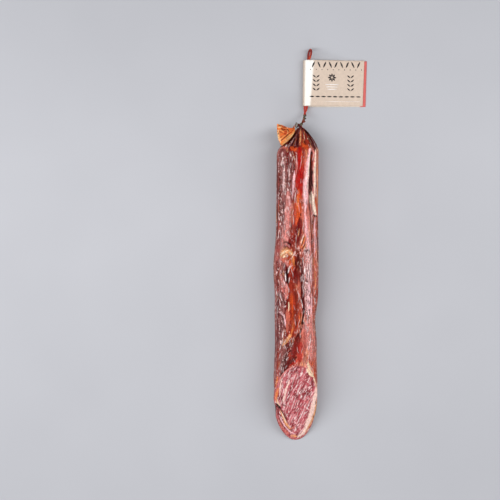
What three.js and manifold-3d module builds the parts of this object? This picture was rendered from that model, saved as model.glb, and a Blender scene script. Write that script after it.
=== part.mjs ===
// A whole cured pork loin in its casing, laid on its back on a table with the shown side up.
// One end is cut slantwise through the meat. The other is gathered into a neck that bends over
// to the left and is crimped by a wire clip, past which the end of the casing opens into a
// pleated fan. A doubled cord is knotted beside the clip, runs down to the table as a twisted
// pair and ends in a hanging loop, round which a card tag is folded.
//
// Millimetres. +Y runs from the cut tip to the tied end, +X to the right of the shown side and
// +Z up. The origin is at the middle of the footprint of loin, fan and clip, on the table.

import * as THREE from "three";
import { mergeVertices } from "three/addons/utils/BufferGeometryUtils.js";
import Module from "manifold-3d";

const wasm = await Module();
wasm.setup();

// ---- Driving dimensions ---------------------------------------------------------------------

const GAP = 0.35; // between pieces that touch

// The body of the loin. Y is measured from the cut tip.
const THICKNESS = 53; // table to the top of the body
const UNDERSIDE_DIP = 1.4; // how far the round underside is flattened by its own weight
const TIP_DIP = 0.25; // the same at the thin cut tip
const SQUARENESS = [2.15, 2.0]; // exponents of the cross-section's upper and lower half
const LEFT_EDGE = [
  [-40, -24], [0, -25.8], [30, -29.3], [60, -31.6], [82, -32.2], [117, -30.4], [146, -29.6],
  [175, -30.1], [203, -30.2], [232, -31.8], [260, -31.8], [289, -28.9], [346, -27.5], [408, -27.5],
];
const RIGHT_EDGE = [
  [-40, 31], [0, 31], [60, 30.8], [82, 31.2], [117, 30], [146, 29.6], [175, 28.2],
  [203, 31.8], [232, 32.8], [260, 32.8], [289, 32.4], [346, 32.4], [408, 32.7],
];
const TOP_SWELL = [[-40, -1], [80, 0], [165, -3.5], [250, 0.5], [330, -1], [408, 0]];

// The gathered end: shoulders that round over into a straight cone down to the neck.
const SHOULDER_Y = 408;
const APEX_Y = 450.4;
// Shares of the gathered length: 0 at the shoulder and 1 at the apex.
const CONE_START = 0.25;
const CONE_SLOPE = 1.2; // share of the width lost in each share of the length
const SHOULDER_ROUND = 0.07;
const TURN_TO_NECK = 0.75; // by here the middle line has moved over to the neck's
const GATHER = [0.12, 0.9]; // the pleats grow in between these
const NECK = new THREE.Vector3(7.4, APEX_Y, 23); // where the cone ends and the neck begins
const NECK_RADIUS = 2.2;
const NECK_BEND_RADIUS = 2.9;
const NECK_TURN = THREE.MathUtils.degToRad(95); // it bends this far to the left
const NECK_STRAIGHT = 5; // through the clip
const NECK_JOIN = 1.5; // from the last ring of the cone to the neck
const PLEATS = 13; // gathers of the casing round the neck
const PLEAT_DEPTH = 1.3;
const PLEAT_SHARE = 0.14; // the most that a pleat takes of the half width
const RELIEF_LOST = 0.8; // share of the creases' depth that the gathers hide

// The slanting cut: from the tip on the table to CUT_TOP_Y on the top of the body.
const CUT_TOP_Y = 114;
const CUT_LEAN = 0.06; // the cut rises this much more to the left for each millimetre

// Long creases and ridges: a positive depth goes inwards. Angles are in degrees round the body,
// 0 on the right, 90 on top and 180 on the left.
const CREASES = [
  { from: [425, 56], to: [175, 34], wobble: 2.5, waves: 1.5, depth: 2.6, width: 3.0 },
  { from: [420, 68], to: [205, 62], wobble: 2, waves: 1, depth: -1.5, width: 5.0 },
  { from: [420, 104], to: [285, 112], wobble: 2, waves: 1, depth: 2.0, width: 3.6 },
  { from: [335, 134], to: [190, 152], wobble: 4, waves: 1.2, depth: 2.2, width: 4.2 },
  { from: [300, 83], to: [150, 98], wobble: 7, waves: 2.5, depth: 2.6, width: 5.0 },
  { from: [172, 70], to: [118, 130], wobble: 2, waves: 0.5, depth: 2.4, width: 4.0 },
  { from: [250, 64], to: [105, 60], wobble: 4, waves: 1.5, depth: 1.4, width: 4.5 },
  { from: [200, 160], to: [60, 172], wobble: 3, waves: 1, depth: 1.6, width: 5.0 },
  { from: [92, 186], to: [-20, 181], wobble: 0, waves: 0, depth: 2.6, width: 3.4 },
];
// The sides and the back, but for the flat underside, have creases spread by a rule.
const HIDDEN_ANGLES = [190, 214, 238, 304, 327, 350];
const HIDDEN_DEPTH = 1.5;
const HIDDEN_WIDTH = 4.5;

// The seam between the two muscles in the cut face, from the left edge inwards, as [x, z].
const SEAM_LINE = [[-34, 25], [-28, 24.1], [-22, 21.6], [-16, 17.2], [-11.5, 11.9], [-9.6, 8]];
const SEAM_DEPTH = 1.9;
const SEAM_WIDTH = 2.2;

// Facets of the body, which is made too long and too deep at first, then trimmed by a slab.
const AROUND = 84;
const ALONG = 44;
const NECK_STEPS = 5;
const FIRST_Y = -12;
const SLAB = [160, 1200, 200];

// The wire clip: a ring round the neck, on whose top two crimped legs lie beside each other.
const CLIP_WIRE = 0.95; // radius
const CLIP_LEG = 3.6; // length of each leg
const CLIP_LEG_RISE = [0.15, 0.95]; // of the two, above the ring
const CLIP_LEG_SHIFT = [0.9, 0.75]; // each leg's shift, along itself and along the neck
const CLIP_PLACE = 0.42; // share of the straight neck between the clip and the fan

// The fan of casing past the clip: angles from +X, lengths from its root.
const FAN_ANGLES = [177, 238]; // degrees, of the upper edge's end and the lower's
const FAN_DROOP = [80, 41]; // degrees that each edge is turned further down near the root
const DROOP_FADE = [2.5, 1.5]; // how fast that goes away along each edge
const DROOP_START = 0.2; // share of its length over which the droop sets in
const FAN_LENGTH = [26.3, 37]; // along the upper edge and along the lower
const FAN_HOLLOW = 2.5; // the free edge curves in this much between them
const FAN_PLEATS = 6;
const FAN_PLEAT_DEPTH = 1.5;
const FAN_FLAT_BAND = 0.6; // share of that depth that is missing along the lower edge
const FAN_THICKNESS = [4.2, 1.5]; // at the root and at the edge
const FAN_RISE = 10; // the free edge stands this far above the neck
const FAN_CLEARANCE = 2.5; // from the round shoulder that it lies on to its lower side, both unpleated
const FAN_ACROSS = 36;
const FAN_OUT = 9;
const FAN_ROOT = 0.03; // the share of its length at which it begins
const FAN_GAP = 0.55; // from the neck's end to the fan's upper corner there
const FAN_SPREAD = 0.35; // share of its length over which the pleats grow
const FAN_LIFTED = 0.25; // share of its width, from the upper edge, that rises to the shoulder
const FAN_LIFT_OUT = [0.02, 0.2]; // shares of its length between which it rises

// The cord: one strand, doubled. Its yarn is tight where the pair is twisted and swells past it.
const CORD = [2.4, 3.0]; // diameter, tight and swollen
const SWELL = [0.25, 0.33]; // shares of the pair's length between which it swells
const LOOP_BEND = 5.6; // radius of the hanging loop's end
const LOOP_TILT = THREE.MathUtils.degToRad(72); // the loop leans up from the table
const TILT = [0.5, 0.85]; // shares of the pair's length between which it turns to that
const TWIST_TURNS = 1.75; // of the pair, between the knot and the tag
const TWIST_END = 0.31; // share of the pair's length that is twisted
const LOOP_START = 0.88; // share of it at which the loop starts to open
const BEND_SHARE = 0.06; // share of the strand's length that goes round the loop's end
const CORD_LINE = [
  [10.0, 456.7, 26.3], [11.6, 458.9, 24.2], [12.7, 461.6, 20.2], [13.2, 464.6, 15.2],
  [13.8, 468.8, 10.0], [14.5, 474.6, 5.8], [15.4, 483.0, 3.6], [15.8, 495.0, 3.4],
  [16.9, 520.0, 3.9], [18.6, 541.0, 4.7], [19.4, 549.5, 5.8], [21.0, 557.9, 7.2],
];
const CORD_SIDES = 8;
const CORD_STEPS = 80;

// The knot beside the clip.
const KNOT = new THREE.Vector3(8.15, 454.25, 27.45);
const KNOT_RADIUS = 1.6;
const KNOT_YARN = 0.95; // radius of the yarn in it, which is drawn tight
const KNOT_TURNS = [[0.5, 0.4, 0], [1.7, 0.3, 0.5], [0.4, 1.6, 0.9]]; // how each loop of it lies

// The folded card tag, flat on the table, its spine round the cord.
const CARD = 0.45;
const TAG_BOTTOM_Y = 482.2;
const TAG_HEIGHT = 66;
const SPINE_X = [10.9, 11.7]; // left side of the fold, at the tag's bottom and top
const SPINE_RADIUS = [4.3, 5.2];
const FRONT_EDGE_X = [97.5, 100.0];
const BACK_EDGE_X = [101.7, 103.6];
const BACK_DROP = 1.0; // the back leaf hangs this much lower than the front
const TAG_ARC_STEPS = 10;
const TAG_LEAF_STEPS = 6;
const TAG_ROWS = 4;

// ---- Materials ------------------------------------------------------------------------------

const matter = (color, roughness, metalness = 0) =>
  new THREE.MeshStandardMaterial({ color, roughness, metalness });
const CASED_MEAT = matter(0x9c4a3c, 0.4);
const DRY_CASING = matter(0xd9873f, 0.45);
const CLIP_METAL = matter(0xb9babd, 0.35, 1);
const CORD_YARN = matter(0x8a3524, 0.8);
const TAG_CARD = matter(0xd8c6b6, 0.75);

// ---- Small tools ----------------------------------------------------------------------------

const { lerp, smoothstep, degToRad, radToDeg, clamp } = THREE.MathUtils;
const signedPower = (v, p) => Math.sign(v) * Math.abs(v) ** p;

// A smooth line through [y, value] stations.
function profile(stations) {
  const line = new THREE.CatmullRomCurve3(
    stations.map(([y, v]) => new THREE.Vector3(y, v, 0)), false, "centripetal");
  const points = line.getPoints(160);
  return (y) => {
    const next = Math.max(1, points.findIndex((p) => p.x >= y));
    const last = y > points.at(-1).x ? points.length - 1 : next;
    const [a, b] = [points[last - 1], points[last]];
    return lerp(a.y, b.y, clamp((y - a.x) / (b.x - a.x), 0, 1));
  };
}

// A closed surface from rings of points, each ring the same length. A thin ring, which runs out
// and back, is capped by a strip, and a round one by a fan about its middle.
function skinOf(rings, thin = false) {
  const positions = rings.flat().flatMap((p) => [p.x, p.y, p.z]);
  const across = rings[0].length;
  const index = [];
  const face = (flip, a, b, c) => index.push(...(flip ? [a, c, b] : [a, b, c]));
  for (let i = 0; i + 1 < rings.length; i++)
    for (let j = 0; j < across; j++) {
      const a = i * across + j;
      const b = i * across + ((j + 1) % across);
      index.push(a, b, b + across, a, b + across, a + across);
    }
  for (const [ring, flip] of [[0, true], [rings.length - 1, false]]) {
    const at = ring * across;
    if (thin) {
      for (let j = 0; j + 1 < across / 2; j++) {
        const back = across - 1 - j;
        face(flip, at + j, at + j + 1, at + back - 1);
        face(flip, at + j, at + back - 1, at + back);
      }
      continue;
    }
    const middle = rings[ring]
      .reduce((sum, p) => sum.add(p), new THREE.Vector3())
      .divideScalar(across);
    const centre = positions.length / 3;
    positions.push(middle.x, middle.y, middle.z);
    for (let j = 0; j < across; j++) face(flip, centre, at + j, at + ((j + 1) % across));
  }
  const geometry = new THREE.BufferGeometry();
  geometry.setAttribute("position", new THREE.Float32BufferAttribute(positions, 3));
  geometry.setIndex(index);
  return geometry;
}

function solidOf(geometry) {
  const bare = geometry.clone();
  bare.deleteAttribute("normal");
  bare.deleteAttribute("uv");
  const merged = mergeVertices(bare, 1e-4);
  return new wasm.Manifold(new wasm.Mesh({
    numProp: 3,
    vertProperties: new Float32Array(merged.attributes.position.array),
    triVerts: new Uint32Array(merged.index.array),
  }));
}

function geometryOf(solid) {
  const { vertProperties, triVerts, numProp } = solid.getMesh();
  const geometry = new THREE.BufferGeometry();
  const points = [];
  for (let i = 0; i < vertProperties.length; i += numProp)
    points.push(...vertProperties.subarray(i, i + 3));
  geometry.setAttribute("position", new THREE.Float32BufferAttribute(points, 3));
  geometry.setIndex([...triVerts]);
  geometry.computeVertexNormals();
  return geometry;
}

function piece(name, geometry, material) {
  const mesh = new THREE.Mesh(geometry, material);
  mesh.name = name;
  return mesh;
}

// ---- The loin -------------------------------------------------------------------------------

const leftEdge = profile(LEFT_EDGE);
const rightEdge = profile(RIGHT_EDGE);
const topSwell = profile(TOP_SWELL);

// Centre and half sizes of the cross-section at y.
function section(y) {
  const along = Math.min(y, SHOULDER_Y);
  const [left, right] = [leftEdge(along), rightEdge(along)];
  const top = THICKNESS + topSwell(along);
  const dip = lerp(TIP_DIP, UNDERSIDE_DIP, smoothstep(y, 5, 70));
  const u = clamp((y - SHOULDER_Y) / (APEX_Y - SHOULDER_Y), 0, 1);
  const lost = CONE_SLOPE * SHOULDER_ROUND * Math.log1p(Math.exp((u - CONE_START) / SHOULDER_ROUND));
  const size = Math.max(1 - lost, 0.02);
  return {
    x: lerp((left + right) / 2, NECK.x, smoothstep(u, 0, TURN_TO_NECK)),
    z: lerp((top - dip) / 2, NECK.z, smoothstep(u, 1 - TURN_TO_NECK, 1)),
    halfWidth: ((right - left) / 2) * size,
    halfHeight: ((top + dip) / 2) * size,
    gather: smoothstep(u, ...GATHER),
  };
}

// Angle of the crease's line at y, and how far the crease has faded in there.
function creaseAt({ from, to, wobble, waves }, y) {
  const t = (y - from[0]) / (to[0] - from[0]);
  const fade = smoothstep(t, 0, 0.12) * (1 - smoothstep(t, 0.88, 1));
  return { angle: lerp(from[1], to[1], t) + wobble * Math.sin(2 * Math.PI * waves * t), fade };
}

const hiddenCreases = HIDDEN_ANGLES.map((angle, i) => ({
  from: [412 - 17 * (i % 3), angle],
  to: [20 + 35 * (i % 2), angle + 8 * Math.sin(2.4 * i)],
  wobble: 3 + (i % 3),
  waves: 1.6 + 0.4 * (i % 4),
  depth: HIDDEN_DEPTH + 0.35 * (i % 3),
  width: HIDDEN_WIDTH,
}));

// How far the surface goes in (positive) at y and an angle in degrees, with radius in mm.
function relief(y, angle, radius) {
  let depth = 0;
  for (const crease of [...CREASES, ...hiddenCreases]) {
    const { angle: middle, fade } = creaseAt(crease, y);
    const turn = ((((angle - middle + 180) % 360) + 360) % 360) - 180;
    const off = (degToRad(turn) * radius) / crease.width;
    depth += crease.depth * fade * Math.exp(-off * off);
  }
  return depth;
}

function bodyRing(y) {
  const s = section(y);
  const ring = [];
  for (let j = 0; j < AROUND; j++) {
    const angle = (j / AROUND) * 2 * Math.PI;
    const [c, n] = [Math.cos(angle), Math.sin(angle)];
    const power = SQUARENESS[n > 0 ? 0 : 1];
    const pleatDepth = s.gather * Math.min(PLEAT_DEPTH, PLEAT_SHARE * s.halfWidth);
    const crease = relief(y, radToDeg(angle), s.halfWidth) * (1 - RELIEF_LOST * s.gather);
    const inward = crease - pleatDepth * Math.cos(PLEATS * angle);
    ring.push(new THREE.Vector3(
      s.x + s.halfWidth * signedPower(c, 2 / power) - inward * c,
      y,
      s.z + s.halfHeight * signedPower(n, 2 / power) - inward * n));
  }
  return ring.reverse(); // so that the faces point out
}

// The neck turns left round a vertical axis, then runs straight through the clip.
function neckFrame(distance) {
  const arc = NECK_BEND_RADIUS * NECK_TURN;
  const turn = Math.min(distance / NECK_BEND_RADIUS, NECK_TURN);
  const along = new THREE.Vector3(-Math.sin(turn), Math.cos(turn), 0);
  const side = new THREE.Vector3(Math.cos(turn), Math.sin(turn), 0);
  const point = NECK.clone()
    .add(new THREE.Vector3(-NECK_BEND_RADIUS, 0, 0))
    .addScaledVector(side, NECK_BEND_RADIUS)
    .addScaledVector(along, Math.max(0, distance - arc));
  return { point, along, side };
}
const NECK_LENGTH = NECK_BEND_RADIUS * NECK_TURN + NECK_STRAIGHT;

function neckRing(distance) {
  const { point, side } = neckFrame(distance);
  const ring = [];
  for (let j = 0; j < AROUND; j++) {
    const angle = (j / AROUND) * 2 * Math.PI;
    ring.push(point.clone()
      .addScaledVector(side, NECK_RADIUS * Math.cos(angle))
      .add(new THREE.Vector3(0, 0, NECK_RADIUS * Math.sin(angle))));
  }
  return ring.reverse();
}

function makeLoin() {
  const rings = [];
  for (let i = 0; i <= ALONG; i++) {
    const t = i / ALONG; // closer together towards the gathered end
    rings.push(bodyRing(lerp(FIRST_Y, APEX_Y - NECK_JOIN, t * (1.32 - 0.32 * t))));
  }
  for (let i = 0; i <= NECK_STEPS; i++) rings.push(neckRing((i / NECK_STEPS) * NECK_LENGTH));
  const whole = solidOf(skinOf(rings));

  const slab = new THREE.BoxGeometry(...SLAB);
  const table = slab.clone().translate(0, 0, -SLAB[2] / 2);
  const waste = slab.clone().translate(0, 0, SLAB[2] / 2);
  waste.applyMatrix4(CUT_PLANE);
  const tools = [table, waste, makeSeam()];
  return geometryOf(tools.reduce((solid, tool) => solid.subtract(solidOf(tool)), whole));
}

// Carries the plane z = 0 to the plane of the cut.
const CUT_PLANE = new THREE.Matrix4()
  .makeRotationX(Math.atan2(THICKNESS, CUT_TOP_Y))
  .multiply(new THREE.Matrix4().makeRotationY(Math.atan(CUT_LEAN)));

// A V-shaped tool along the seam line, half above the cut face.
function makeSeam() {
  const rise = Math.hypot(CUT_TOP_Y, THICKNESS) / THICKNESS;
  const line = new THREE.CatmullRomCurve3(
    SEAM_LINE.map(([x, z]) => new THREE.Vector3(x, z * rise, 0)));
  const rings = [];
  const steps = 24;
  for (let i = 0; i <= steps; i++) {
    const t = i / steps;
    const point = line.getPointAt(t);
    const along = line.getTangentAt(t);
    const side = new THREE.Vector3(-along.y, along.x, 0);
    const fade = 1 - 0.9 * smoothstep(t, 0.6, 1);
    const half = (SEAM_WIDTH / 2) * fade;
    const at = (across, up) => point.clone().addScaledVector(side, across).setZ(up).applyMatrix4(CUT_PLANE);
    rings.push([at(half, 0), at(half, 1), at(-half, 1), at(-half, 0), at(0, -SEAM_DEPTH * fade)]);
  }
  return skinOf(rings);
}

// ---- Clip, fan and knot ---------------------------------------------------------------------

function makeClip() {
  const radius = NECK_RADIUS + GAP + CLIP_WIRE;
  let clip = solidOf(new THREE.TorusGeometry(radius, CLIP_WIRE, 10, 30));
  CLIP_LEG_RISE.forEach((rise, i) => {
    const side = 2 * i - 1;
    const leg = new THREE.CapsuleGeometry(CLIP_WIRE, CLIP_LEG, 4, 10)
      .rotateZ(Math.PI / 2)
      .translate(side * CLIP_LEG_SHIFT[0], radius + rise, side * CLIP_LEG_SHIFT[1]);
    clip = clip.add(solidOf(leg));
  });
  const mesh = piece("clip", geometryOf(clip), CLIP_METAL);
  const { point, along } = neckFrame(NECK_LENGTH - CLIP_PLACE * NECK_STRAIGHT);
  mesh.position.copy(point);
  mesh.up.set(0, 0, 1);
  mesh.lookAt(point.clone().add(along));
  return mesh;
}

// Height at (x, y) of the surface that far outside the loin's upper side, or of its middle beside it.
function aboveLoin(x, y, margin) {
  const s = section(y);
  const off = Math.min(1, Math.abs(x - s.x) / (s.halfWidth + margin));
  return s.z + (s.halfHeight + margin) * (1 - off ** SQUARENESS[0]) ** (1 / SQUARENESS[0]);
}

const halfThickness = (out) => lerp(...FAN_THICKNESS, smoothstep(out, 0, 0.5)) / 2;

function makeFan() {
  const { point: root } = neckFrame(NECK_LENGTH + FAN_GAP - FAN_ROOT * FAN_LENGTH[0]);
  const middleOf = (across, out) => {
    const fade = (1 - out) ** lerp(...DROOP_FADE, across) * smoothstep(out, 0, DROOP_START);
    const angle = degToRad(lerp(...FAN_ANGLES, across) + lerp(...FAN_DROOP, across) * fade);
    const length = lerp(...FAN_LENGTH, across) - FAN_HOLLOW * Math.sin(Math.PI * across);
    const spread = smoothstep(out, 0, FAN_SPREAD);
    const x = root.x + length * out * Math.cos(angle);
    const y = root.y + length * out * Math.sin(angle);
    const free = root.z + FAN_RISE * out ** 1.3;
    const lying = aboveLoin(x, y, halfThickness(out) + FAN_CLEARANCE);
    const onShoulder = smoothstep(across, 0, FAN_LIFTED) * smoothstep(out, ...FAN_LIFT_OUT);
    const flatter = 1 - FAN_FLAT_BAND * smoothstep(across, 0.6, 0.85);
    const pleat = FAN_PLEAT_DEPTH * flatter * spread * Math.cos(2 * Math.PI * FAN_PLEATS * across);
    return new THREE.Vector3(x, y, lerp(free, Math.max(free, lying), onShoulder) + pleat);
  };
  const rings = [];
  for (let i = 0; i <= FAN_OUT; i++) {
    const out = lerp(FAN_ROOT, 1, i / FAN_OUT);
    const half = halfThickness(out);
    const upper = [];
    const lower = [];
    for (let j = 0; j <= FAN_ACROSS; j++) {
      const p = middleOf(j / FAN_ACROSS, out);
      upper.push(p.clone().setZ(p.z + half));
      lower.push(p.clone().setZ(p.z - half));
    }
    rings.push([...upper, ...lower.reverse()].reverse());
  }
  return skinOf(rings, true);
}

function makeKnot() {
  const loops = KNOT_TURNS.map((turn) => {
    const loop = new THREE.TorusGeometry(KNOT_RADIUS, KNOT_YARN, 7, 12);
    loop.applyMatrix4(new THREE.Matrix4().makeRotationFromEuler(new THREE.Euler(...turn)));
    return solidOf(loop);
  });
  const knot = piece("cord_knot", geometryOf(wasm.Manifold.union(loops)), CORD_YARN);
  knot.position.copy(KNOT);
  return knot;
}

// ---- The cord -------------------------------------------------------------------------------

const pairLine = new THREE.CatmullRomCurve3(
  CORD_LINE.map((p) => new THREE.Vector3(...p)), false, "centripetal");
const SIDE_BY_SIDE = 0.15; // from the pair's middle line to each strand's surface

// Radius of the strand at a share t of the pair's length.
const yarnRadius = (t) => lerp(...CORD, smoothstep(t, ...SWELL)) / 2;

// The pair's middle line at t, the way from it to the outgoing strand, and how far off that is.
function pairFrame(t) {
  const point = pairLine.getPointAt(t);
  const along = pairLine.getTangentAt(t);
  const right = along.clone().cross(new THREE.Vector3(0, 0, 1)).normalize();
  const up = right.clone().cross(along).normalize();
  const twisted = Math.min(t / TWIST_END, 1);
  const untwisted = 1 - 1.25 * twisted + 0.25 * twisted ** 5; // even, but for a soft end
  const turn = LOOP_TILT * smoothstep(t, ...TILT) + 2 * Math.PI * TWIST_TURNS * untwisted;
  const across = right.multiplyScalar(Math.cos(turn)).addScaledVector(up, Math.sin(turn));
  const off = lerp(yarnRadius(t) + SIDE_BY_SIDE, LOOP_BEND, smoothstep(t, LOOP_START, 1));
  return { point, along, across, off };
}

// The share of the pair's length that is reached at a share t of the strand's.
const STRAND_REACH = 0.5 - BEND_SHARE / 2;
const pairShare = (t) => Math.min(t / STRAND_REACH, (1 - t) / STRAND_REACH, 1);

// Out along one side of the pair, round the loop's end and back along the other side.
class StrandCurve extends THREE.Curve {
  getPoint(t, target = new THREE.Vector3()) {
    const { point, along, across, off } = pairFrame(pairShare(t));
    const swing = clamp((t - 0.5) / BEND_SHARE + 0.5, 0, 1) * Math.PI;
    return target.copy(point)
      .addScaledVector(across, off * Math.cos(swing))
      .addScaledVector(along, off * Math.sin(swing));
  }
}

function makeCord() {
  const strand = new StrandCurve();
  const { normals, binormals } = strand.computeFrenetFrames(CORD_STEPS, false);
  const rings = normals.map((normal, i) => {
    const share = i / CORD_STEPS;
    const middle = strand.getPointAt(share);
    const radius = yarnRadius(pairShare(strand.getUtoTmapping(share)));
    return Array.from({ length: CORD_SIDES }, (_, j) => {
      const a = (j / CORD_SIDES) * 2 * Math.PI;
      return middle.clone()
        .addScaledVector(normal, radius * Math.cos(a))
        .addScaledVector(binormals[i], radius * Math.sin(a));
    });
  });
  return skinOf(rings);
}

// ---- The tag --------------------------------------------------------------------------------

// The card's middle line at height v (0 bottom, 1 top), from the back leaf's edge round the spine
// to the front leaf's edge, as [x, z, drop].
function tagLine(v) {
  const radius = lerp(...SPINE_RADIUS, v);
  const spine = lerp(...SPINE_X, v) + radius;
  const floor = CARD / 2;
  const line = [];
  for (let i = 0; i <= TAG_LEAF_STEPS; i++)
    line.push([lerp(lerp(...BACK_EDGE_X, v), spine, i / TAG_LEAF_STEPS), floor, BACK_DROP]);
  for (let i = 1; i < TAG_ARC_STEPS; i++) {
    const a = -Math.PI / 2 - (i / TAG_ARC_STEPS) * Math.PI;
    const drop = BACK_DROP * (1 - i / TAG_ARC_STEPS);
    line.push([spine + radius * Math.cos(a), floor + radius * (1 + Math.sin(a)), drop]);
  }
  const low = floor + CARD + GAP;
  for (let i = 0; i <= TAG_LEAF_STEPS; i++) {
    const t = i / TAG_LEAF_STEPS;
    const fall = 1 - smoothstep(t, 0, 0.85);
    line.push([lerp(spine, lerp(...FRONT_EDGE_X, v), t), lerp(low, floor + 2 * radius, fall), 0]);
  }
  return line;
}

function makeTag() {
  const rings = [];
  for (let row = 0; row <= TAG_ROWS; row++) {
    const v = row / TAG_ROWS;
    const line = tagLine(v);
    const outside = [];
    const inside = [];
    line.forEach(([x, z, drop], i) => {
      const [before, after] = [line[Math.max(0, i - 1)], line[Math.min(line.length - 1, i + 1)]];
      const along = new THREE.Vector2(after[0] - before[0], after[1] - before[1]).normalize();
      const y = TAG_BOTTOM_Y + TAG_HEIGHT * v - drop;
      outside.push(new THREE.Vector3(x + (along.y * CARD) / -2, y, z + (along.x * CARD) / 2));
      inside.push(new THREE.Vector3(x - (along.y * CARD) / -2, y, z - (along.x * CARD) / 2));
    });
    rings.push([...outside, ...inside.reverse()]);
  }
  return skinOf(rings, true);
}

// ---- Assembly -------------------------------------------------------------------------------

const loin = piece("loin", makeLoin(), CASED_MEAT);
const fan = piece("casing_fan", makeFan(), DRY_CASING);
const clip = makeClip();
const cured = new THREE.Group();
cured.add(loin, fan, clip);

const hanging = new THREE.Group();
hanging.add(makeKnot(), piece("cord", makeCord(), CORD_YARN), piece("tag", makeTag(), TAG_CARD));

const part = new THREE.Group();
part.add(cured, hanging);
const footprint = new THREE.Box3().setFromObject(cured, true);
part.position.set(
  -(footprint.min.x + footprint.max.x) / 2, -(footprint.min.y + footprint.max.y) / 2, 0);

export default part;
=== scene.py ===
"""The looks of the cured pork loin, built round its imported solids.

The loin lies on its back, its cut tip towards -Y and its tied end towards +Y, and the camera looks
straight down on it. Its forms are worked out in millimetres in the loin's own frame, where y = 0 is
the cut tip on the table, and placed() moves them to the row frame in metres.
"""

import math
from collections import namedtuple

import bpy
import numpy as np
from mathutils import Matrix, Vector


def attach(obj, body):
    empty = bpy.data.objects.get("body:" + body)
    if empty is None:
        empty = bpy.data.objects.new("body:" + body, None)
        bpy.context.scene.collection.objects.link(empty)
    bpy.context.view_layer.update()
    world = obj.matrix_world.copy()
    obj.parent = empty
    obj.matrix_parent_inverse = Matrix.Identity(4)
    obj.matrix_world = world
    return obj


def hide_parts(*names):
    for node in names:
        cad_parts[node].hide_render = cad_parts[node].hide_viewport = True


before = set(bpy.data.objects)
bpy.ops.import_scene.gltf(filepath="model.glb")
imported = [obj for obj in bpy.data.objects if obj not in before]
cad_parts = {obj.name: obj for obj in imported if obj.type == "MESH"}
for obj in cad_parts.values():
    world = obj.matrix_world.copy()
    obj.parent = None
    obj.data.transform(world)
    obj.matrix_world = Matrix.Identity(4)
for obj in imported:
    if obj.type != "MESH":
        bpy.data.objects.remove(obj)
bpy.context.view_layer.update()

# ---- Units and frames ------------------------------------------------------------------------

MM = 0.001
TIP = np.array([-0.528, -228.689, 0.0])  # the cut tip in the row frame, in mm
BODY = "root"


def placed(points):
    """Points of the loin's own frame, in mm, as points of the row frame, in metres."""
    return (np.asarray(points, float) + TIP) * MM


# ---- Camera ----------------------------------------------------------------------------------

CAMERA = np.array([-65.78, 45.87, 2450.0])  # row frame, mm, looking straight down
SENSOR = 36.0
LENS = 122.05
PHOTO_SIZE = 500  # pixels on each side of the photograph
FOCAL_PIXELS = LENS / SENSOR * PHOTO_SIZE


def make_camera():
    data = bpy.data.cameras.new("camera")
    data.lens = LENS
    data.sensor_width = SENSOR
    camera = bpy.data.objects.new("camera", data)
    camera.location = CAMERA * MM
    bpy.context.scene.collection.objects.link(camera)
    bpy.context.scene.camera = camera


make_camera()

# ---- Small tools -----------------------------------------------------------------------------


def lerp(a, b, t):
    return a + (b - a) * t


def smoothstep(v, low, high):
    t = np.clip((v - low) / (high - low), 0, 1)
    return t * t * (3 - 2 * t)


def signed_power(v, p):
    return np.sign(v) * np.abs(v) ** p


def linear(*srgb):
    """A colour given as three numbers up to 255 as Blender's linear red, green and blue."""
    c = np.array(srgb, float) / 255
    return np.where(c <= 0.04045, c / 12.92, ((c + 0.055) / 1.055) ** 2.4)


def profile(stations):
    """A smooth line through (y, value) stations, as a function of y."""
    y, v = np.array(stations, float).T
    slope = np.gradient(v, y)

    def at(where):
        where = np.clip(where, y[0], y[-1])
        i = np.clip(np.searchsorted(y, where) - 1, 0, len(y) - 2)
        step = y[i + 1] - y[i]
        t = (where - y[i]) / step
        rise = v[i] * (1 + 2 * t) * (1 - t) ** 2 + v[i + 1] * t * t * (3 - 2 * t)
        return rise + step * t * (1 - t) * (slope[i] * (1 - t) - slope[i + 1] * t)

    return at


AXIS_FACTORS = (73856093, 19349663, 83492791)  # large primes that scatter the noise's cells
SEED_FACTOR = 40503
MIX_FACTOR = 1274126177
POSITIVE = 0x7FFFFFFF
LOW_BITS = 0xFFFF


def noise(points, size, seed):
    """Smooth noise from -1 to 1. Size is that of one lump along each axis, in the points' unit."""
    p = np.asarray(points, float) / np.asarray(size, float)
    cell = np.floor(p).astype(np.int64)
    part = p - cell
    part = part * part * (3 - 2 * part)
    total = np.zeros(p.shape[:-1])
    for corner in range(8):
        step = np.array([corner & 1, corner >> 1 & 1, corner >> 2 & 1])
        mixed = np.bitwise_xor.reduce((cell + step) * AXIS_FACTORS, axis=-1) ^ (seed * SEED_FACTOR)
        mixed = ((mixed ^ (mixed >> 13)) * MIX_FACTOR) & POSITIVE
        value = ((mixed ^ (mixed >> 16)) & LOW_BITS) / (LOW_BITS / 2) - 1
        total += value * np.prod(np.where(step, part, 1 - part), axis=-1)
    return total


def layered(points, layers):
    """A sum of noises, each given as its share, the size of its lumps and its seed."""
    return sum(share * noise(points, size, seed) for share, size, seed in layers)


RIDGE_MIDDLE = 0.6


def ridged(points, layers):
    """Like layered(), but with sharp crests and round hollows."""
    return sum(share * (1 - np.abs(noise(points, size, seed)) - RIDGE_MIDDLE)
               for share, size, seed in layers)


def patched(colours, points, patches, weight=1):
    """The colours under patches, each given as its lumps' size, where it sets in and is full, and
    its colour, share and seed."""
    for size, low, high, colour, share, seed in patches:
        patch = smoothstep(noise(points, size, seed), low, high)[:, None]
        colours = lerp(colours, colour, share * patch * weight)
    return colours


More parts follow.
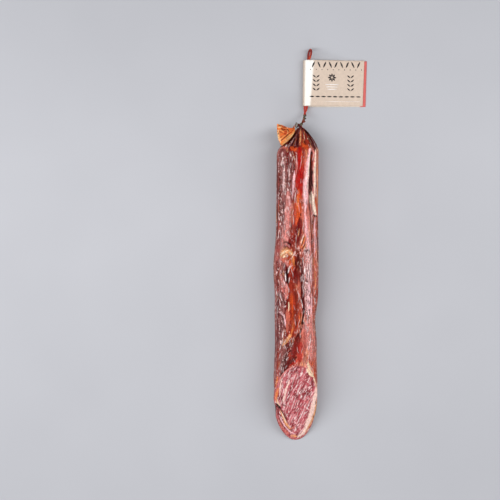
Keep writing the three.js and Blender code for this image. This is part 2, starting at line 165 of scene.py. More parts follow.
def smooth_line(points, steps):
    """A centripetal Catmull-Rom line through the points, with that many steps between two of them."""
    p = np.array(points, float)
    p = np.vstack([2 * p[0] - p[1], p, 2 * p[-1] - p[-2]])
    line = []
    for a, b, c, d in zip(p, p[1:], p[2:], p[3:]):
        u = np.cumsum([0, *(math.sqrt(np.linalg.norm(q - r)) for q, r in ((a, b), (b, c), (c, d)))])
        for t in np.linspace(u[1], u[2], steps, endpoint=False):
            ab = lerp(a, b, t / u[1])
            bc = lerp(b, c, (t - u[1]) / (u[2] - u[1]))
            cd = lerp(c, d, (t - u[2]) / (u[3] - u[2]))
            abc = lerp(ab, bc, t / u[2])
            bcd = lerp(bc, cd, (t - u[1]) / (u[3] - u[1]))
            line.append(lerp(abc, bcd, (t - u[1]) / (u[2] - u[1])))
    return np.array([*line, p[-2]])


# ---- Meshes ----------------------------------------------------------------------------------


def grid_faces(rows, columns, closed):
    """Quads between rows of points. A closed grid's last column joins its first."""
    a = np.arange((rows - 1) * columns).reshape(rows - 1, columns)
    b = np.roll(a, -1, axis=1)
    quads = np.stack([a, b, b + columns, a + columns], axis=-1)
    if not closed:
        quads = quads[:, :-1]
    return quads.reshape(-1, 4).tolist()


def normals_of(grid):
    """The normal at each point of a closed grid of points, rows by columns."""
    around = np.roll(grid, -1, axis=1) - np.roll(grid, 1, axis=1)
    normal = np.cross(around, np.gradient(grid, axis=0))
    return normal / np.maximum(np.linalg.norm(normal, axis=-1, keepdims=True), 1e-9)


def add_colours(mesh, colours):
    attribute = mesh.attributes.new("tint", "FLOAT_COLOR", "POINT")
    values = np.ones((len(mesh.vertices), 4), np.float32)
    values[:, :3] = np.reshape(colours, (-1, 3))
    attribute.data.foreach_set("color", values.ravel())


def add_gloss(mesh, gloss):
    attribute = mesh.attributes.new("gloss", "FLOAT", "POINT")
    attribute.data.foreach_set("value", np.ravel(gloss).astype(np.float32))


def make_piece(name, points, faces, material, nodes, colours, gloss=None):
    """A smooth piece from points in the loin's own frame. It rides with the part."""
    mesh = bpy.data.meshes.new(name)
    mesh.from_pydata(placed(np.reshape(points, (-1, 3))).tolist(), [], faces)
    mesh.shade_smooth()
    add_colours(mesh, colours)
    if gloss is not None:
        add_gloss(mesh, gloss)
    mesh.materials.append(material)
    piece = bpy.data.objects.new(name, mesh)
    bpy.context.scene.collection.objects.link(piece)
    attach(piece, BODY)
    if nodes:
        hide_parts(*nodes)
    return piece


# ---- Materials -------------------------------------------------------------------------------

# Painted highlights and painted shade of the casing's creping: pale glints on its crests and dark shade in
# its gaps.
GLINT = linear(252, 218, 212)
GAP_SHADE = linear(60, 8, 8)
NOISE_RANGE = (0.3, 0.7)  # most of a noise texture's values


class Shader:
    """A Principled material whose nodes are added one after another."""

    def __init__(self, name, **inputs):
        self.material = bpy.data.materials.new(name)
        self.material.use_nodes = True
        self.nodes = self.material.node_tree.nodes
        self.links = self.material.node_tree.links
        self.surface = self.nodes["Principled BSDF"]
        for key, value in inputs.items():
            self.surface.inputs[key.replace("_", " ")].default_value = value

    def add(self, kind, settings=None, **inputs):
        """A node of that kind. An input is another node's output, or a plain value."""
        node = self.nodes.new(kind)
        for key, value in (settings or {}).items():
            setattr(node, key, value)
        for key, value in inputs.items():
            socket = node.inputs[key.replace("_", " ")]
            if isinstance(value, bpy.types.NodeSocket):
                self.links.new(value, socket)
            else:
                socket.default_value = value
        return node

    def attribute(self, name, output):
        """One of the values that the piece's points carry."""
        return self.add("ShaderNodeAttribute", {"attribute_name": name}).outputs[output]

    def noise(self, scale, detail=3.0, stretch=(1, 1, 1), roughness=0.6):
        """Noise in the object's space, its lumps stretched along the axes."""
        place = self.add("ShaderNodeTexCoord").outputs["Object"]
        size = tuple(1 / s for s in stretch)
        mapping = self.add("ShaderNodeMapping", Vector=place, Scale=size)
        texture = self.add("ShaderNodeTexNoise", Vector=mapping.outputs["Vector"],
                           Scale=scale, Detail=detail, Roughness=roughness)
        return texture.outputs["Fac"]

    def spread(self, value, low, high, to_low, to_high):
        """The value carried from low..high to to_low..to_high, held at the ends."""
        node = self.add("ShaderNodeMapRange", Value=value)
        for key, number in zip(("From Min", "From Max", "To Min", "To Max"),
                               (low, high, to_low, to_high)):
            node.inputs[key].default_value = number
        return node.outputs["Result"]

    def varied(self, noise, low, high):
        """The noise carried to low..high."""
        return self.spread(noise, *NOISE_RANGE, low, high)

    def roughness(self, dull, glossy):
        """Roughness by the piece's own gloss, which is from 0 to 1."""
        return self.spread(self.attribute("gloss", "Fac"), 0, 1, dull, glossy)

    def tinted(self, noise, darkest, lightest):
        """The piece's own colours times a grey that goes with a noise."""
        return self.shaded(self.attribute("tint", "Color"), noise, darkest, lightest)

    def shaded(self, colour, noise, darkest, lightest):
        """The colour times a grey that goes with a noise."""
        grey = self.varied(noise, darkest, lightest)
        node = self.add("ShaderNodeMix", {"data_type": "RGBA", "blend_type": "MULTIPLY"})
        node.inputs[0].default_value = 1
        self.links.new(colour, node.inputs[6])
        self.links.new(grey, node.inputs[7])
        return node.outputs[2]

    def mixed(self, first, second, share):
        """A colour between two, each an output or three numbers."""
        node = self.add("ShaderNodeMix", {"data_type": "RGBA"})
        for socket, value in ((node.inputs[6], first), (node.inputs[7], second)):
            if isinstance(value, bpy.types.NodeSocket):
                self.links.new(value, socket)
            else:
                socket.default_value = (*value, 1)
        self.links.new(share, node.inputs[0])
        return node.outputs[2]

    def product(self, first, second):
        node = self.add("ShaderNodeMath", {"operation": "MULTIPLY"})
        self.links.new(first, node.inputs[0])
        self.links.new(second, node.inputs[1])
        return node.outputs[0]

    def bump(self, height, distance):
        """Relief of that many metres."""
        return self.add("ShaderNodeBump", Height=height, Distance=distance).outputs["Normal"]

    def connect(self, **inputs):
        for key, output in inputs.items():
            self.links.new(output, self.surface.inputs[key.replace("_", " ")])
        return self.material


def casing_material():
    s = Shader("cased meat", Coat_Weight=0.06, Coat_Roughness=0.08, Specular_IOR_Level=0.05,
               Subsurface_Weight=0.03, Subsurface_Radius=(0.0030, 0.0012, 0.0008), Subsurface_Scale=1.0)
    crisp = s.spread(s.attribute("gloss", "Fac"), 0.35, 0.78, 1, 0)
    streaks = s.noise(430, 5, stretch=(1, 5, 1), roughness=0.65)
    colour = s.shaded(s.tinted(streaks, 0.5, 1.4), s.noise(640, 3), 0.64, 1.26)
    # Painted glints, and painted shade in the creping's gaps, most where the casing is dull.
    glints = s.spread(s.noise(430, 3, stretch=(1, 2.2, 1)), 0.55, 0.62, 0, 1)
    gaps = s.spread(s.noise(400, 3, stretch=(1, 2.4, 1)), 0.46, 0.38, 0, 0.9)
    colour = s.mixed(colour, GLINT, s.product(glints, crisp))
    colour = s.mixed(colour, GAP_SHADE, s.product(gaps, crisp))
    creping = s.bump(s.noise(300, 4, stretch=(1, 2.6, 1)), 0.0020)
    return s.connect(Base_Color=colour, Roughness=s.roughness(0.6, 0.3), Normal=creping)


def meat_material():
    s = Shader("bare meat", Coat_Weight=0.15, Coat_Roughness=0.15, Specular_IOR_Level=0.15,
               Subsurface_Weight=0.08, Subsurface_Radius=(0.0030, 0.0010, 0.0007), Subsurface_Scale=1.0)
    fibres = s.noise(820, 4, stretch=(1, 2.5, 2.5))
    colour = s.tinted(fibres, 0.66, 1.28)
    return s.connect(Base_Color=colour, Roughness=s.roughness(0.6, 0.3), Normal=s.bump(fibres, 0.0007))


def dry_casing_material():
    s = Shader("dry casing", Coat_Weight=0.2, Coat_Roughness=0.2, Specular_IOR_Level=0.4,
               Subsurface_Weight=0.15, Subsurface_Radius=(0.0020, 0.0010, 0.0005), Subsurface_Scale=1.0)
    streaks = s.noise(700, 5, stretch=(2.5, 2.5, 1))
    colour = s.tinted(streaks, 0.72, 1.22)
    return s.connect(Base_Color=colour, Roughness=s.roughness(0.6, 0.28), Normal=s.bump(streaks, 0.0006))


def clip_material():
    s = Shader("clip wire", Metallic=1.0)
    worn = s.noise(1800, 3)
    colour = s.mixed(linear(84, 74, 66), linear(168, 160, 152), s.spread(worn, 0.35, 0.65, 0, 1))
    dents = s.bump(s.noise(3500, 2), 0.00008)
    return s.connect(Base_Color=colour, Roughness=s.varied(worn, 0.4, 0.6), Normal=dents)


def yarn_material():
    s = Shader("yarn", Sheen_Weight=0.05, Coat_Weight=0.15, Coat_Roughness=0.3, Specular_IOR_Level=0.2)
    fibres = s.noise(2600, 3)
    colour = s.tinted(fibres, 0.6, 1.3)
    return s.connect(Base_Color=colour, Roughness=s.roughness(0.8, 0.3), Normal=s.bump(fibres, 0.00025))


def card_material():
    s = Shader("card")
    pulp = s.noise(1300, 4)
    colour = s.shaded(s.tinted(pulp, 0.93, 1.06), s.noise(260, 2), 0.95, 1.05)
    rough = s.varied(pulp, 0.72, 0.62)
    return s.connect(Base_Color=colour, Roughness=rough, Normal=s.bump(pulp, 0.00006))


def ink_material():
    s = Shader("print")
    worn = s.noise(1500, 3)
    return s.connect(Base_Color=s.tinted(worn, 0.8, 1.25), Roughness=s.varied(worn, 0.55, 0.42))


def floor_material():
    s = Shader("floor")
    cloud = s.noise(4, 2)
    colour = s.mixed(linear(184, 185, 190), linear(188, 189, 194), s.varied(cloud, 0, 1))
    return s.connect(Base_Color=colour, Roughness=s.varied(cloud, 0.9, 0.8))


# ---- Colours of the casing and the meat ------------------------------------------------------

# The sheen, pearl and white colours are mostly painted highlights, black and maroon mostly painted shade,
# and the frost colour is a pale bloom partly painted as glare.
PLUM = linear(152, 92, 88)
GREY = linear(122, 86, 82)
ROSE = linear(196, 98, 90)
BLUSH = linear(226, 138, 130)
PALE = linear(244, 208, 206)
CREAM = linear(253, 220, 184)
SALMON = linear(210, 108, 88)
AMBER = linear(230, 128, 66)
ORANGE = linear(208, 78, 34)
APRICOT = linear(240, 164, 112)
RUST = linear(168, 54, 34)
RED = linear(174, 16, 10)
WINE = linear(116, 14, 12)
MAROON = linear(84, 12, 10)
BLACK = linear(46, 2, 2)
DUSK = linear(84, 28, 34)
BROWN = linear(108, 44, 38)
FROST_AND_GLARE = linear(206, 156, 156)
SHEEN = linear(252, 196, 200)
PEARL = linear(255, 228, 208)
WHITE = linear(255, 236, 234)

FAT = linear(248, 208, 194)
FAT_EDGE = linear(218, 156, 104)

# A feature of the surface: a band of colour along a line, raised or sunk. Half width is in pixels of
# the photograph. Rise is in mm, outwards, and strength and gloss are from 0 to 1.
Stroke = namedtuple("Stroke", "half_width colour strength rise gloss line")
PIXEL = 1.42  # mm on the loin's upper side

# The casing's strokes by name, roughly from the tied end to the cut tip. Each has its half width,
# colour, strength, rise and gloss, and then its line's points in pixels of the photograph.
# Many strokes paint light and shade on the relief: the glints, lips, sheens and pale ridges are painted
# highlights, and the gaps, grooves, hollows, dark lines, shades and dark edges are painted shade.
CASING_STROKES = {
    "dome grey": (2.2, PLUM, 0.6, 0, 0.5, (296.5, 134), (292, 141), (287.5, 147)),
    "dome rust": (3.4, RUST, 0.85, 0, 0.9, (300.8, 131), (301, 148)),
    "dome rust, right": (3.0, RUST, 0.7, 0, 0.9, (304, 138), (309, 147)),
    "dome orange a": (1.0, APRICOT, 1, 0.3, 1, (300.6, 129), (300.2, 145)),
    "dome orange b": (0.6, APRICOT, 1, 0.3, 0.9, (304.2, 131), (304.6, 140)),
    "dome gap a": (0.6, BLACK, 0.95, -0.4, 0.95, (302, 131), (301.8, 146)),
    "dome gap b": (1.0, BLACK, 1, -0.4, 1, (298.4, 131), (297.6, 147)),
    "dome gap d": (0.7, BLACK, 1, -0.4, 1, (295.6, 134), (293.4, 142), (291.6, 147)),
    "dome line a": (0.5, FROST_AND_GLARE, 0.9, 0.3, 0.9, (296.6, 133), (295, 146)),
    "dome line b": (0.5, PALE, 0.8, 0.3, 0.9, (294.4, 136), (291, 144)),
    "dome line c": (0.5, CREAM, 0.85, 0.3, 0.9, (306.4, 134.5), (311.4, 143)),
    "dome line d": (0.6, AMBER, 0.85, 0.3, 0.9, (304.6, 131.5), (309.4, 140.5)),
    "dome gap c": (0.6, BLACK, 0.9, -0.4, 0.95, (304.4, 141), (305.4, 148)),
    "dome orange c": (0.8, AMBER, 0.95, 0.3, 0.9, (302.9, 136), (303, 147)),
    "dome orange d": (0.7, APRICOT, 0.8, 0.3, 0.7, (310, 144), (311, 149)),
    "dome dash a": (0.6, CREAM, 0.8, 0.3, 0.7, (307, 138), (308.3, 140)),
    "dome dash b": (0.6, AMBER, 0.8, 0.3, 0.7, (309, 141.8), (310.4, 144)),
    "dome dash c": (0.4, FROST_AND_GLARE, 0.8, 0.3, 0.7, (306, 133), (308, 135.5)),
    "dome patch left": (2.2, ORANGE, 0.95, 0.4, 0.9, (290.5, 147), (294, 149.5), (297, 148.5)),
    "dome patch right": (3.0, ORANGE, 0.95, 0.3, 0.85, (302.5, 143.5), (306, 147), (310.6, 149)),
    "dome dark right": (2.2, MAROON, 0.75, 0, 0.95, (306.5, 132), (311, 138.5), (314.5, 145)),
    "dome shoulder": (3.0, MAROON, 0.95, 0, 0.95, (309, 137), (313, 144), (314.6, 151)),
    "dome dark edge": (1.5, BLACK, 1, 0, 0.95, (302.5, 128), (311.5, 138), (318, 150)),
    # A painted shadow between the fan and the dome.
    "under the fan": (1.5, BLACK, 1, -0.6, 0.95, (296, 132), (290, 141), (286.4, 146)),
    "left shoulder": (1.6, SALMON, 0.8, 0, 0.6, (280, 149), (284, 147.4), (288, 149)),
    "fan glint a": (0.5, WHITE, 0.9, 0.4, 1, (291.6, 140.4), (290.4, 141.8)),
    "fan glint b": (0.5, WHITE, 0.9, 0.4, 1, (289.8, 143), (288.8, 144)),
    "fan glint c": (0.6, WHITE, 1, 0.4, 1, (286.8, 144.8), (285.8, 146.4)),
    "upper plum": (6.4, PLUM, 0.8, 0, 0.4, (283, 153), (283, 200), (282, 232)),
    "upper plum b": (3.2, PLUM, 0.8, 0, 0.4, (290, 152), (290.5, 178), (287.5, 200)),
    "upper plum dark": (1.9, BROWN, 0.9, -0.5, 0.3, (280, 152), (279.6, 180), (280, 235)),
    # Painted shade along the left edge, where the body turns away from the light.
    "left edge": (2.4, MAROON, 0.85, 0, 0.95, (277.6, 156), (277.6, 200), (277.6, 236)),
    "plum light a": (1.5, PALE, 0.7, 0.3, 0.3, (282.6, 158), (283.8, 172), (283.4, 192)),
    "plum light b": (1.0, PALE, 0.6, 0.3, 0.3, (288.8, 164), (289, 182)),
    "plum line a": (0.6, BLACK, 0.75, -0.5, 0.95, (287, 151), (288.6, 166), (286.6, 186)),
    "plum line b": (0.6, BLACK, 0.75, -0.5, 0.95, (290.8, 156), (291.6, 172), (289.6, 190)),
    "pale streak a": (0.8, CREAM, 0.95, 0.6, 0.8, (291.8, 151.5), (293.6, 156), (294.4, 160)),
    "dark line a": (0.7, BLACK, 0.9, -0.6, 0.95, (294.2, 161), (293.7, 175), (293, 184)),
    "red stripe": (4.1, RED, 1, 0.3, 1, (300, 148), (299.8, 178), (299.6, 200)),
    "salmon line": (0.6, BLUSH, 0.95, 0.5, 0.9, (296.2, 158), (297, 167), (295.2, 178)),
    "pale streak b": (1.6, SHEEN, 1, 0.9, 0.9, (294.4, 171), (293, 188), (290.8, 206)),
    "stripe's side": (2.4, RUST, 0.9, 0.2, 0.85, (295, 200), (294, 212), (293, 224)),
    "orange stripe": (3.2, ORANGE, 1, 0.3, 0.95, (299, 190), (298.4, 208), (297.4, 226)),
    "stripe light": (0.8, AMBER, 0.8, 0.3, 0.9, (297.6, 196), (297.4, 208)),
    "orange glow": (1.2, ORANGE, 0.7, 0, 0.95, (301.5, 152), (302.6, 168)),
    "ridge's shade": (0.9, RED, 0.9, 0, 1, (304, 160), (303, 176), (301.8, 192)),
    # The pink ridge and its light, the cream ridge and the blade are painted highlights on raised folds;
    # the groove and the dark under the blade are painted shade.
    "pink ridge": (2.8, SHEEN, 1, 1.7, 1,
        (309.6, 149), (308.1, 160), (306.6, 176), (305.5, 190), (305.3, 213)),
    "ridge's light": (1.4, PEARL, 1, 0.3, 1, (308.6, 156), (307.4, 172), (306.2, 196)),
    "groove": (3.0, BLACK, 1, -2.8, 1, (312, 152), (311.4, 170), (310.9, 203)),
    "groove's glow": (0.9, RUST, 0.9, 0, 0.95, (312.6, 154), (312.6, 170)),
    "amber edge": (1.8, APRICOT, 0.9, 0, 0.8, (317.4, 156), (317.6, 176), (317.4, 208)),
    "cream ridge": (1.45, PEARL, 1, 1.2, 1, (315.2, 150), (314.8, 175), (314.6, 197)),
    "edge glint": (0.6, CREAM, 0.9, 0.4, 1, (317, 148), (317.8, 151)),
    "blade edge": (1.5, ORANGE, 0.95, 0.6, 0.8, (315, 197), (316.8, 206), (317.2, 215)),
    "blade": (2.7, PEARL, 1, 2.8, 1, (312, 191), (313, 203), (315.2, 215)),
    "blade's side": (0.9, AMBER, 0.9, 0, 0.9, (315.2, 201), (316.6, 214)),
    "ridge's foot": (0.9, SALMON, 0.9, 0, 0.9, (308, 188), (308.2, 212)),
    "groove, low": (1.5, BLACK, 0.95, -1.8, 0.95, (309, 192), (309.8, 206), (311, 218), (312, 240)),
    "under the blade": (0.9, BLACK, 1, -1, 0.95, (311, 208), (313.6, 215), (317.6, 216.5)),
    "right pink": (1.4, SHEEN, 0.8, 0.8, 0.9, (314.8, 218), (314.9, 240), (314.4, 260)),
    "right line": (1.7, MAROON, 0.95, -1.2, 0.95, (312, 215), (312.1, 246), (312.6, 258)),
    "right edge": (1.8, BROWN, 0.8, 0, 0.6, (317.4, 216), (317.6, 240), (317.2, 262)),
    "far right line a": (0.7, MAROON, 0.9, -0.5, 0.95, (317.2, 218), (317.4, 262)),
    "blush left": (4.4, BLUSH, 0.85, 0.3, 0.6, (289, 192), (288.4, 208), (287, 225), (286, 244)),
    "blush streak": (1.3, SHEEN, 0.9, 0.4, 0.6, (289.6, 196), (290, 212)),
    "left line a": (0.7, BLACK, 0.9, -0.6, 0.95, (283.6, 203), (283.6, 221)),
    "left line b": (0.7, BLACK, 0.9, -0.6, 0.95, (282.4, 220), (281.8, 233)),
    "left spot": (1.0, BLACK, 0.9, -0.3, 0.95, (281.2, 230), (281.3, 232.4)),
    "stripe spot": (0.7, BLACK, 0.9, -0.3, 0.95, (301, 213), (300.6, 216)),
    "blush right": (3.2, BLUSH, 0.85, 0.5, 0.8, (305.6, 212), (306.6, 236), (308.2, 250)),
    "blush light": (1.6, SHEEN, 0.9, 0.5, 0.9, (304.6, 212), (306, 228), (307.4, 242), (308, 256)),
    "dark red bend": (2.6, WINE, 0.85, -0.4, 0.6, (299, 222), (296, 234), (292, 242), (285, 247)),
    "bend shade": (3.4, WINE, 0.95, -0.3, 0.85, (299.8, 218), (299.4, 232), (297.4, 246)),
    "arc": (0.8, BLACK, 0.9, -1, 0.95, (281, 243), (286, 242), (291.5, 245.5), (295, 251)),
    "arc light": (0.6, BLUSH, 0.9, 0.6, 0.8, (281, 245.4), (286, 244.4), (290.6, 247.8)),
    "left light": (3.0, BLUSH, 0.85, 0.3, 0.7, (281.2, 222), (280.8, 246), (279.4, 264)),
    "patch": (4.8, APRICOT, 1, 1.0, 0.6, (279.4, 255), (284, 252.5), (291.5, 253.5)),
    "patch below": (3.2, SALMON, 0.9, 0.9, 0.5, (281, 259), (287, 260.6), (292, 266)),
    "patch foot": (1.5, BLUSH, 0.9, 0.3, 0.7, (285, 261.5), (288, 266)),
    "patch side": (1.1, AMBER, 0.9, 0.3, 0.8, (293.2, 256), (294, 266)),
    "patch light a": (0.9, CREAM, 1, 0.6, 0.9, (281, 255.5), (284.5, 252), (288, 250.5)),
    "patch light b": (0.9, CREAM, 1, 0.6, 0.9, (283, 257.6), (286, 255.4)),
    "patch light c": (0.7, CREAM, 1, 0.6, 0.9, (289, 252), (292.4, 254.6)),
    "patch gap": (0.5, RUST, 0.9, -0.5, 0.9, (285, 256.6), (288.6, 254), (289.6, 257.6)),
    "orange tongue": (1.6, ORANGE, 0.95, 0.6, 0.5, (288, 258), (291, 264), (292.4, 271)),
    "cross a": (0.65, APRICOT, 1, 0.8, 0.95, (299.4, 229), (297.6, 240), (295, 252)),
    "cross b": (0.6, PEARL, 1, 0.7, 0.95, (301.4, 236), (299.4, 243), (295, 251), (291.6, 259)),
    "cross gap": (0.6, BLACK, 0.9, -0.8, 0.95, (300.6, 230), (299, 240), (296.8, 248)),
    "twist a": (0.9, AMBER, 1, 1.1, 0.95, (307, 232), (303, 243), (299.6, 250.5)),
    "twist b": (0.6, PEARL, 1, 1, 0.95, (303.8, 234), (301, 243), (298, 249.6)),
    "twist c": (1.0, APRICOT, 1, 1, 0.95, (310.8, 232.5), (307.4, 241), (303.4, 249.5)),
    "twist d": (0.7, SHEEN, 1, 1, 0.95, (311.4, 240), (307.5, 248), (303.6, 254.5)),
    "twist gap a": (0.5, BLACK, 1, -1, 0.95, (305, 234.6), (301.8, 245), (298.8, 250.6)),
    "twist gap b": (0.6, MAROON, 1, -1, 0.95, (308.8, 236), (305.4, 243.4), (301.4, 250.4)),
    "twist gap c": (0.5, MAROON, 1, -1, 0.95, (308, 248), (305.4, 252), (302, 256)),
    "twist end": (1.4, SHEEN, 0.85, 0.3, 0.9, (308.6, 242), (309, 254)),
    "hollow": (3.2, MAROON, 0.95, -1.5, 0.95, (298, 252), (298.8, 264), (297, 278)),
    "below the hollow": (4.6, WINE, 0.85, 0, 0.8, (295.6, 270), (297, 284)),
    "hollow brown": (1.4, linear(150, 84, 66), 0.9, -0.4, 0.5, (299, 259.5), (298.6, 267.5)),
    "hollow dark a": (0.9, BLACK, 1, -0.5, 0.95, (302, 254), (300.8, 262), (302.4, 270)),
    "hollow dark b": (0.7, BLACK, 1, -0.5, 0.95, (295.2, 259), (295.6, 272)),
    "hollow glint": (0.5, WHITE, 0.9, 0.3, 0.9, (296.6, 270.5), (298, 274.5)),
    # The frost is a pale bloom with painted glare on it; the frost lines and gaps are painted shade in its
    # cracks, and its lips and white bands painted highlights.
    "frost shade": (2.4, BROWN, 0.85, -0.3, 0.5, (302.4, 262), (303.2, 284), (302.8, 312)),
    "frost a": (3, FROST_AND_GLARE, 0.8, 0, 0.2, (306.6, 247), (307.6, 262)),
    "frost b": (3.6, FROST_AND_GLARE, 0.85, 0.4, 0.2, (308, 262), (307.5, 285), (307.6, 316)),
    "frost white a": (1.9, SHEEN, 0.9, 0.4, 0.6, (310.4, 260), (310.8, 284)),
    "frost white b": (2.0, SHEEN, 0.85, 0.4, 0.3, (308.8, 284), (308.6, 316)),
    "frost line a": (0.6, BLACK, 0.95, -0.9, 0.95, (301, 277.6), (306, 281), (311.4, 281.6)),
    "frost line b": (0.6, BLACK, 0.9, -0.9, 0.95, (305.5, 282), (304.8, 287), (308.6, 291)),
    "frost line c": (0.6, BLACK, 0.95, -0.8, 0.95, (306.5, 265.6), (306.3, 273)),
    "frost gap a": (1.6, MAROON, 0.9, -0.8, 0.95, (303, 256), (301.8, 267), (302.8, 279)),
    "frost gap c": (0.6, BLACK, 0.9, -0.8, 0.95, (303.4, 262), (301.6, 275), (302.4, 286)),
    "frost gap d": (0.8, WINE, 0.9, -0.8, 0.95, (303.8, 296), (302.6, 305), (303.6, 314)),
    "frost gap b": (1.0, MAROON, 0.9, -0.8, 0.95, (301, 280), (302.2, 288), (301.4, 297)),
    "frost line d": (0.5, MAROON, 0.9, -0.8, 0.95, (309.6, 283), (311, 288.6), (310.4, 295)),
    "frost line e": (0.6, BLACK, 0.9, -0.8, 0.95, (302.4, 289), (304.6, 294), (304, 301)),
    "frost line f": (0.5, MAROON, 0.9, -0.8, 0.95, (306.8, 293), (310.6, 298), (309.8, 306)),
    "frost line g": (0.6, BLACK, 0.9, -0.8, 0.95, (311.6, 300), (310.8, 308), (308.4, 313)),
    "frost line h": (0.5, MAROON, 0.9, -0.8, 0.95, (305, 303), (307.4, 309), (306.6, 314)),
    "frost lip a": (0.8, WHITE, 1, 0.8, 1, (304.7, 266.6), (304.8, 274)),
    "frost lip b": (0.6, WHITE, 0.95, 0.8, 0.9, (302, 279.4), (306, 283), (310.8, 283.4)),
    "frost lip c": (0.6, WHITE, 0.9, 0.8, 0.9, (303.2, 284), (303, 290)),
    "frost lip d": (0.6, WHITE, 0.9, 0.8, 0.9, (309.4, 299), (308.6, 307)),
    "far right": (1.5, SALMON, 0.7, 0, 0.5, (315.5, 262), (316, 290)),
    "far right line": (0.5, APRICOT, 0.8, 0.6, 0.9, (314.6, 264), (315.6, 292)),
    "far right gap": (0.7, MAROON, 0.8, -0.8, 0.95, (314.4, 262), (314.8, 280), (315, 296)),
    "side blush": (1.2, BLUSH, 0.9, 0.3, 0.8, (312.4, 262), (312.8, 292)),
    "side sheen": (1.3, SHEEN, 0.9, 0.4, 0.8, (311.4, 294), (311.2, 318)),
    "left brown": (2.2, BROWN, 0.7, 0, 0.3, (277, 260), (277.4, 290)),
    "diagonal": (2.2, BLUSH, 0.95, 0.9, 0.6, (277.5, 268), (282, 277), (286, 288)),
    "diagonal gap": (0.7, MAROON, 0.9, -0.7, 0.95, (279.4, 270), (284, 278), (287, 285)),
    "rift": (1.9, BLACK, 1, -1.4, 0.95, (286.8, 268), (286.6, 277), (288.8, 286)),
    "rift lip a": (0.7, WHITE, 1, 0.9, 1, (285.2, 273), (285.6, 281)),
    "rift lip b": (0.7, WHITE, 1, 0.8, 0.9, (289.8, 266), (288, 273)),
    "rift lip c": (0.6, WHITE, 0.95, 0.8, 0.9, (289.6, 277), (288.8, 284)),
    "rift lip d": (0.5, WHITE, 0.9, 0.8, 0.9, (283.6, 280), (285.8, 286)),
    "orange field": (5.8, RUST, 0.95, 0.3, 0.85, (291, 281), (293, 305), (292, 336)),
    "field's shade": (1.6, WINE, 0.7, 0, 0.85, (287.6, 298), (288, 312)),
    "orange glow a": (1.9, ORANGE, 0.9, 0.3, 0.85, (291.6, 292), (292, 312)),
    "orange glow b": (2.2, ORANGE, 0.95, 0.4, 0.8, (299.6, 310), (299.4, 326)),
    "orange glow c": (2.8, ORANGE, 0.95, 0.4, 0.8, (293.4, 312), (291.6, 332)),
    "left glow": (2.5, SALMON, 0.9, 0.3, 0.8, (287.6, 310), (287.2, 332)),
    "flame a": (1.4, AMBER, 0.95, 0.8, 0.7, (293.6, 308), (292.4, 326), (290.4, 340)),
    "flame shade": (2.0, RUST, 0.9, 0, 0.85, (297.6, 296), (298.4, 312), (297, 332)),
    "flame b": (1.3, ORANGE, 0.92, 0.6, 0.7, (299.8, 308), (299.4, 320), (297.6, 330)),
    "flame c": (1.5, BLUSH, 0.9, 0.6, 0.7, (287, 284), (285.6, 300)),
    "flame d": (1.8, APRICOT, 0.95, 0.8, 0.7, (291, 334), (286, 341.4), (281.4, 346)),
    "flame e": (0.6, CREAM, 1, 0.7, 1, (295.3, 308), (294.6, 320), (293.6, 330)),
    "flame f": (0.5, AMBER, 1, 0.7, 1, (300.4, 311), (299.8, 322)),
    "flame g": (0.7, CREAM, 0.95, 0.7, 1, (288.6, 302), (288.8, 311)),
    "flame h": (0.6, APRICOT, 1, 0.7, 0.9, (290.6, 318), (288.8, 334)),
    "flame i": (0.5, SALMON, 0.8, 0.6, 0.8, (297.4, 290), (298.4, 304)),
    "flame gap a": (0.7, MAROON, 0.95, -0.8, 0.95, (297.4, 306), (296.8, 320), (294.8, 334)),
    "flame gap b": (0.6, MAROON, 0.9, -0.8, 0.95, (291, 303), (290.6, 316), (288, 330)),
    "flame gap c": (0.6, MAROON, 0.9, -0.8, 0.95, (300.6, 306), (300.4, 320)),
    "flame gap d": (0.6, MAROON, 0.8, -0.6, 0.95, (293.8, 288), (293.4, 304)),
    "dark right": (2.1, MAROON, 0.95, -1.1, 0.95, (301.8, 284), (303.2, 300), (305.2, 314)),
    "dark right lip": (0.7, WHITE, 0.95, 0.9, 1, (300, 296), (303, 308.5)),
    "deep groove": (1.7, BLACK, 1, -2.4, 0.95,
        (305.2, 306), (303, 321), (301.4, 329), (297.6, 335), (292, 341), (285.5, 346)),
    "groove's wall": (0.6, SALMON, 0.9, 0, 0.8, (305.8, 314), (305.2, 324), (303.6, 333), (299, 339)),
    "lower plum": (4.6, PLUM, 0.88, 0, 0.3, (281, 290), (281, 312), (280, 336), (280, 350)),
    "plum fold": (0.9, SHEEN, 0.95, 1, 0.6, (277.5, 311), (282, 313.6), (284.6, 318.5), (285.6, 328)),
    "plum fold gap": (0.6, BLACK, 0.9, -0.8, 0.95, (278, 314), (282.8, 317), (283.8, 325)),
    "plum dark": (0.8, MAROON, 0.8, -0.5, 0.95, (283.6, 297), (284.6, 306)),
    "plum light": (1.6, ROSE, 0.8, 0.3, 0.5, (281, 286), (284, 294)),
    "plum shade": (2.2, DUSK, 0.45, 0, 0.6, (281.6, 317), (281.4, 332)),
    # Painted shade along the left edge, where the body turns away from the light.
    "left edge, low": (3.4, DUSK, 0.75, 0, 0.8, (276.8, 284), (276.8, 320), (276.4, 366)),
    "plum glint a": (0.6, WHITE, 0.8, 0.4, 0.9, (279.6, 300), (280.4, 306)),
    "plum glint b": (0.6, WHITE, 0.8, 0.4, 0.9, (283.4, 330), (282.4, 338)),
    "salmon side": (4.4, BLUSH, 0.8, 0.3, 0.6, (311, 316), (311.6, 345), (310.6, 364)),
    "pale line": (1.3, SHEEN, 0.9, 0.7, 0.9, (307.2, 314), (306.8, 334)),
    "side light": (1.8, BLUSH, 0.85, 0.5, 0.8, (306, 334), (305.4, 350)),
    "side gap": (0.5, MAROON, 0.7, -0.6, 0.95, (313, 300), (313.4, 318), (314, 336)),
    "far side light a": (1.9, BLUSH, 0.95, 0.4, 0.8, (312.2, 310), (312, 334)),
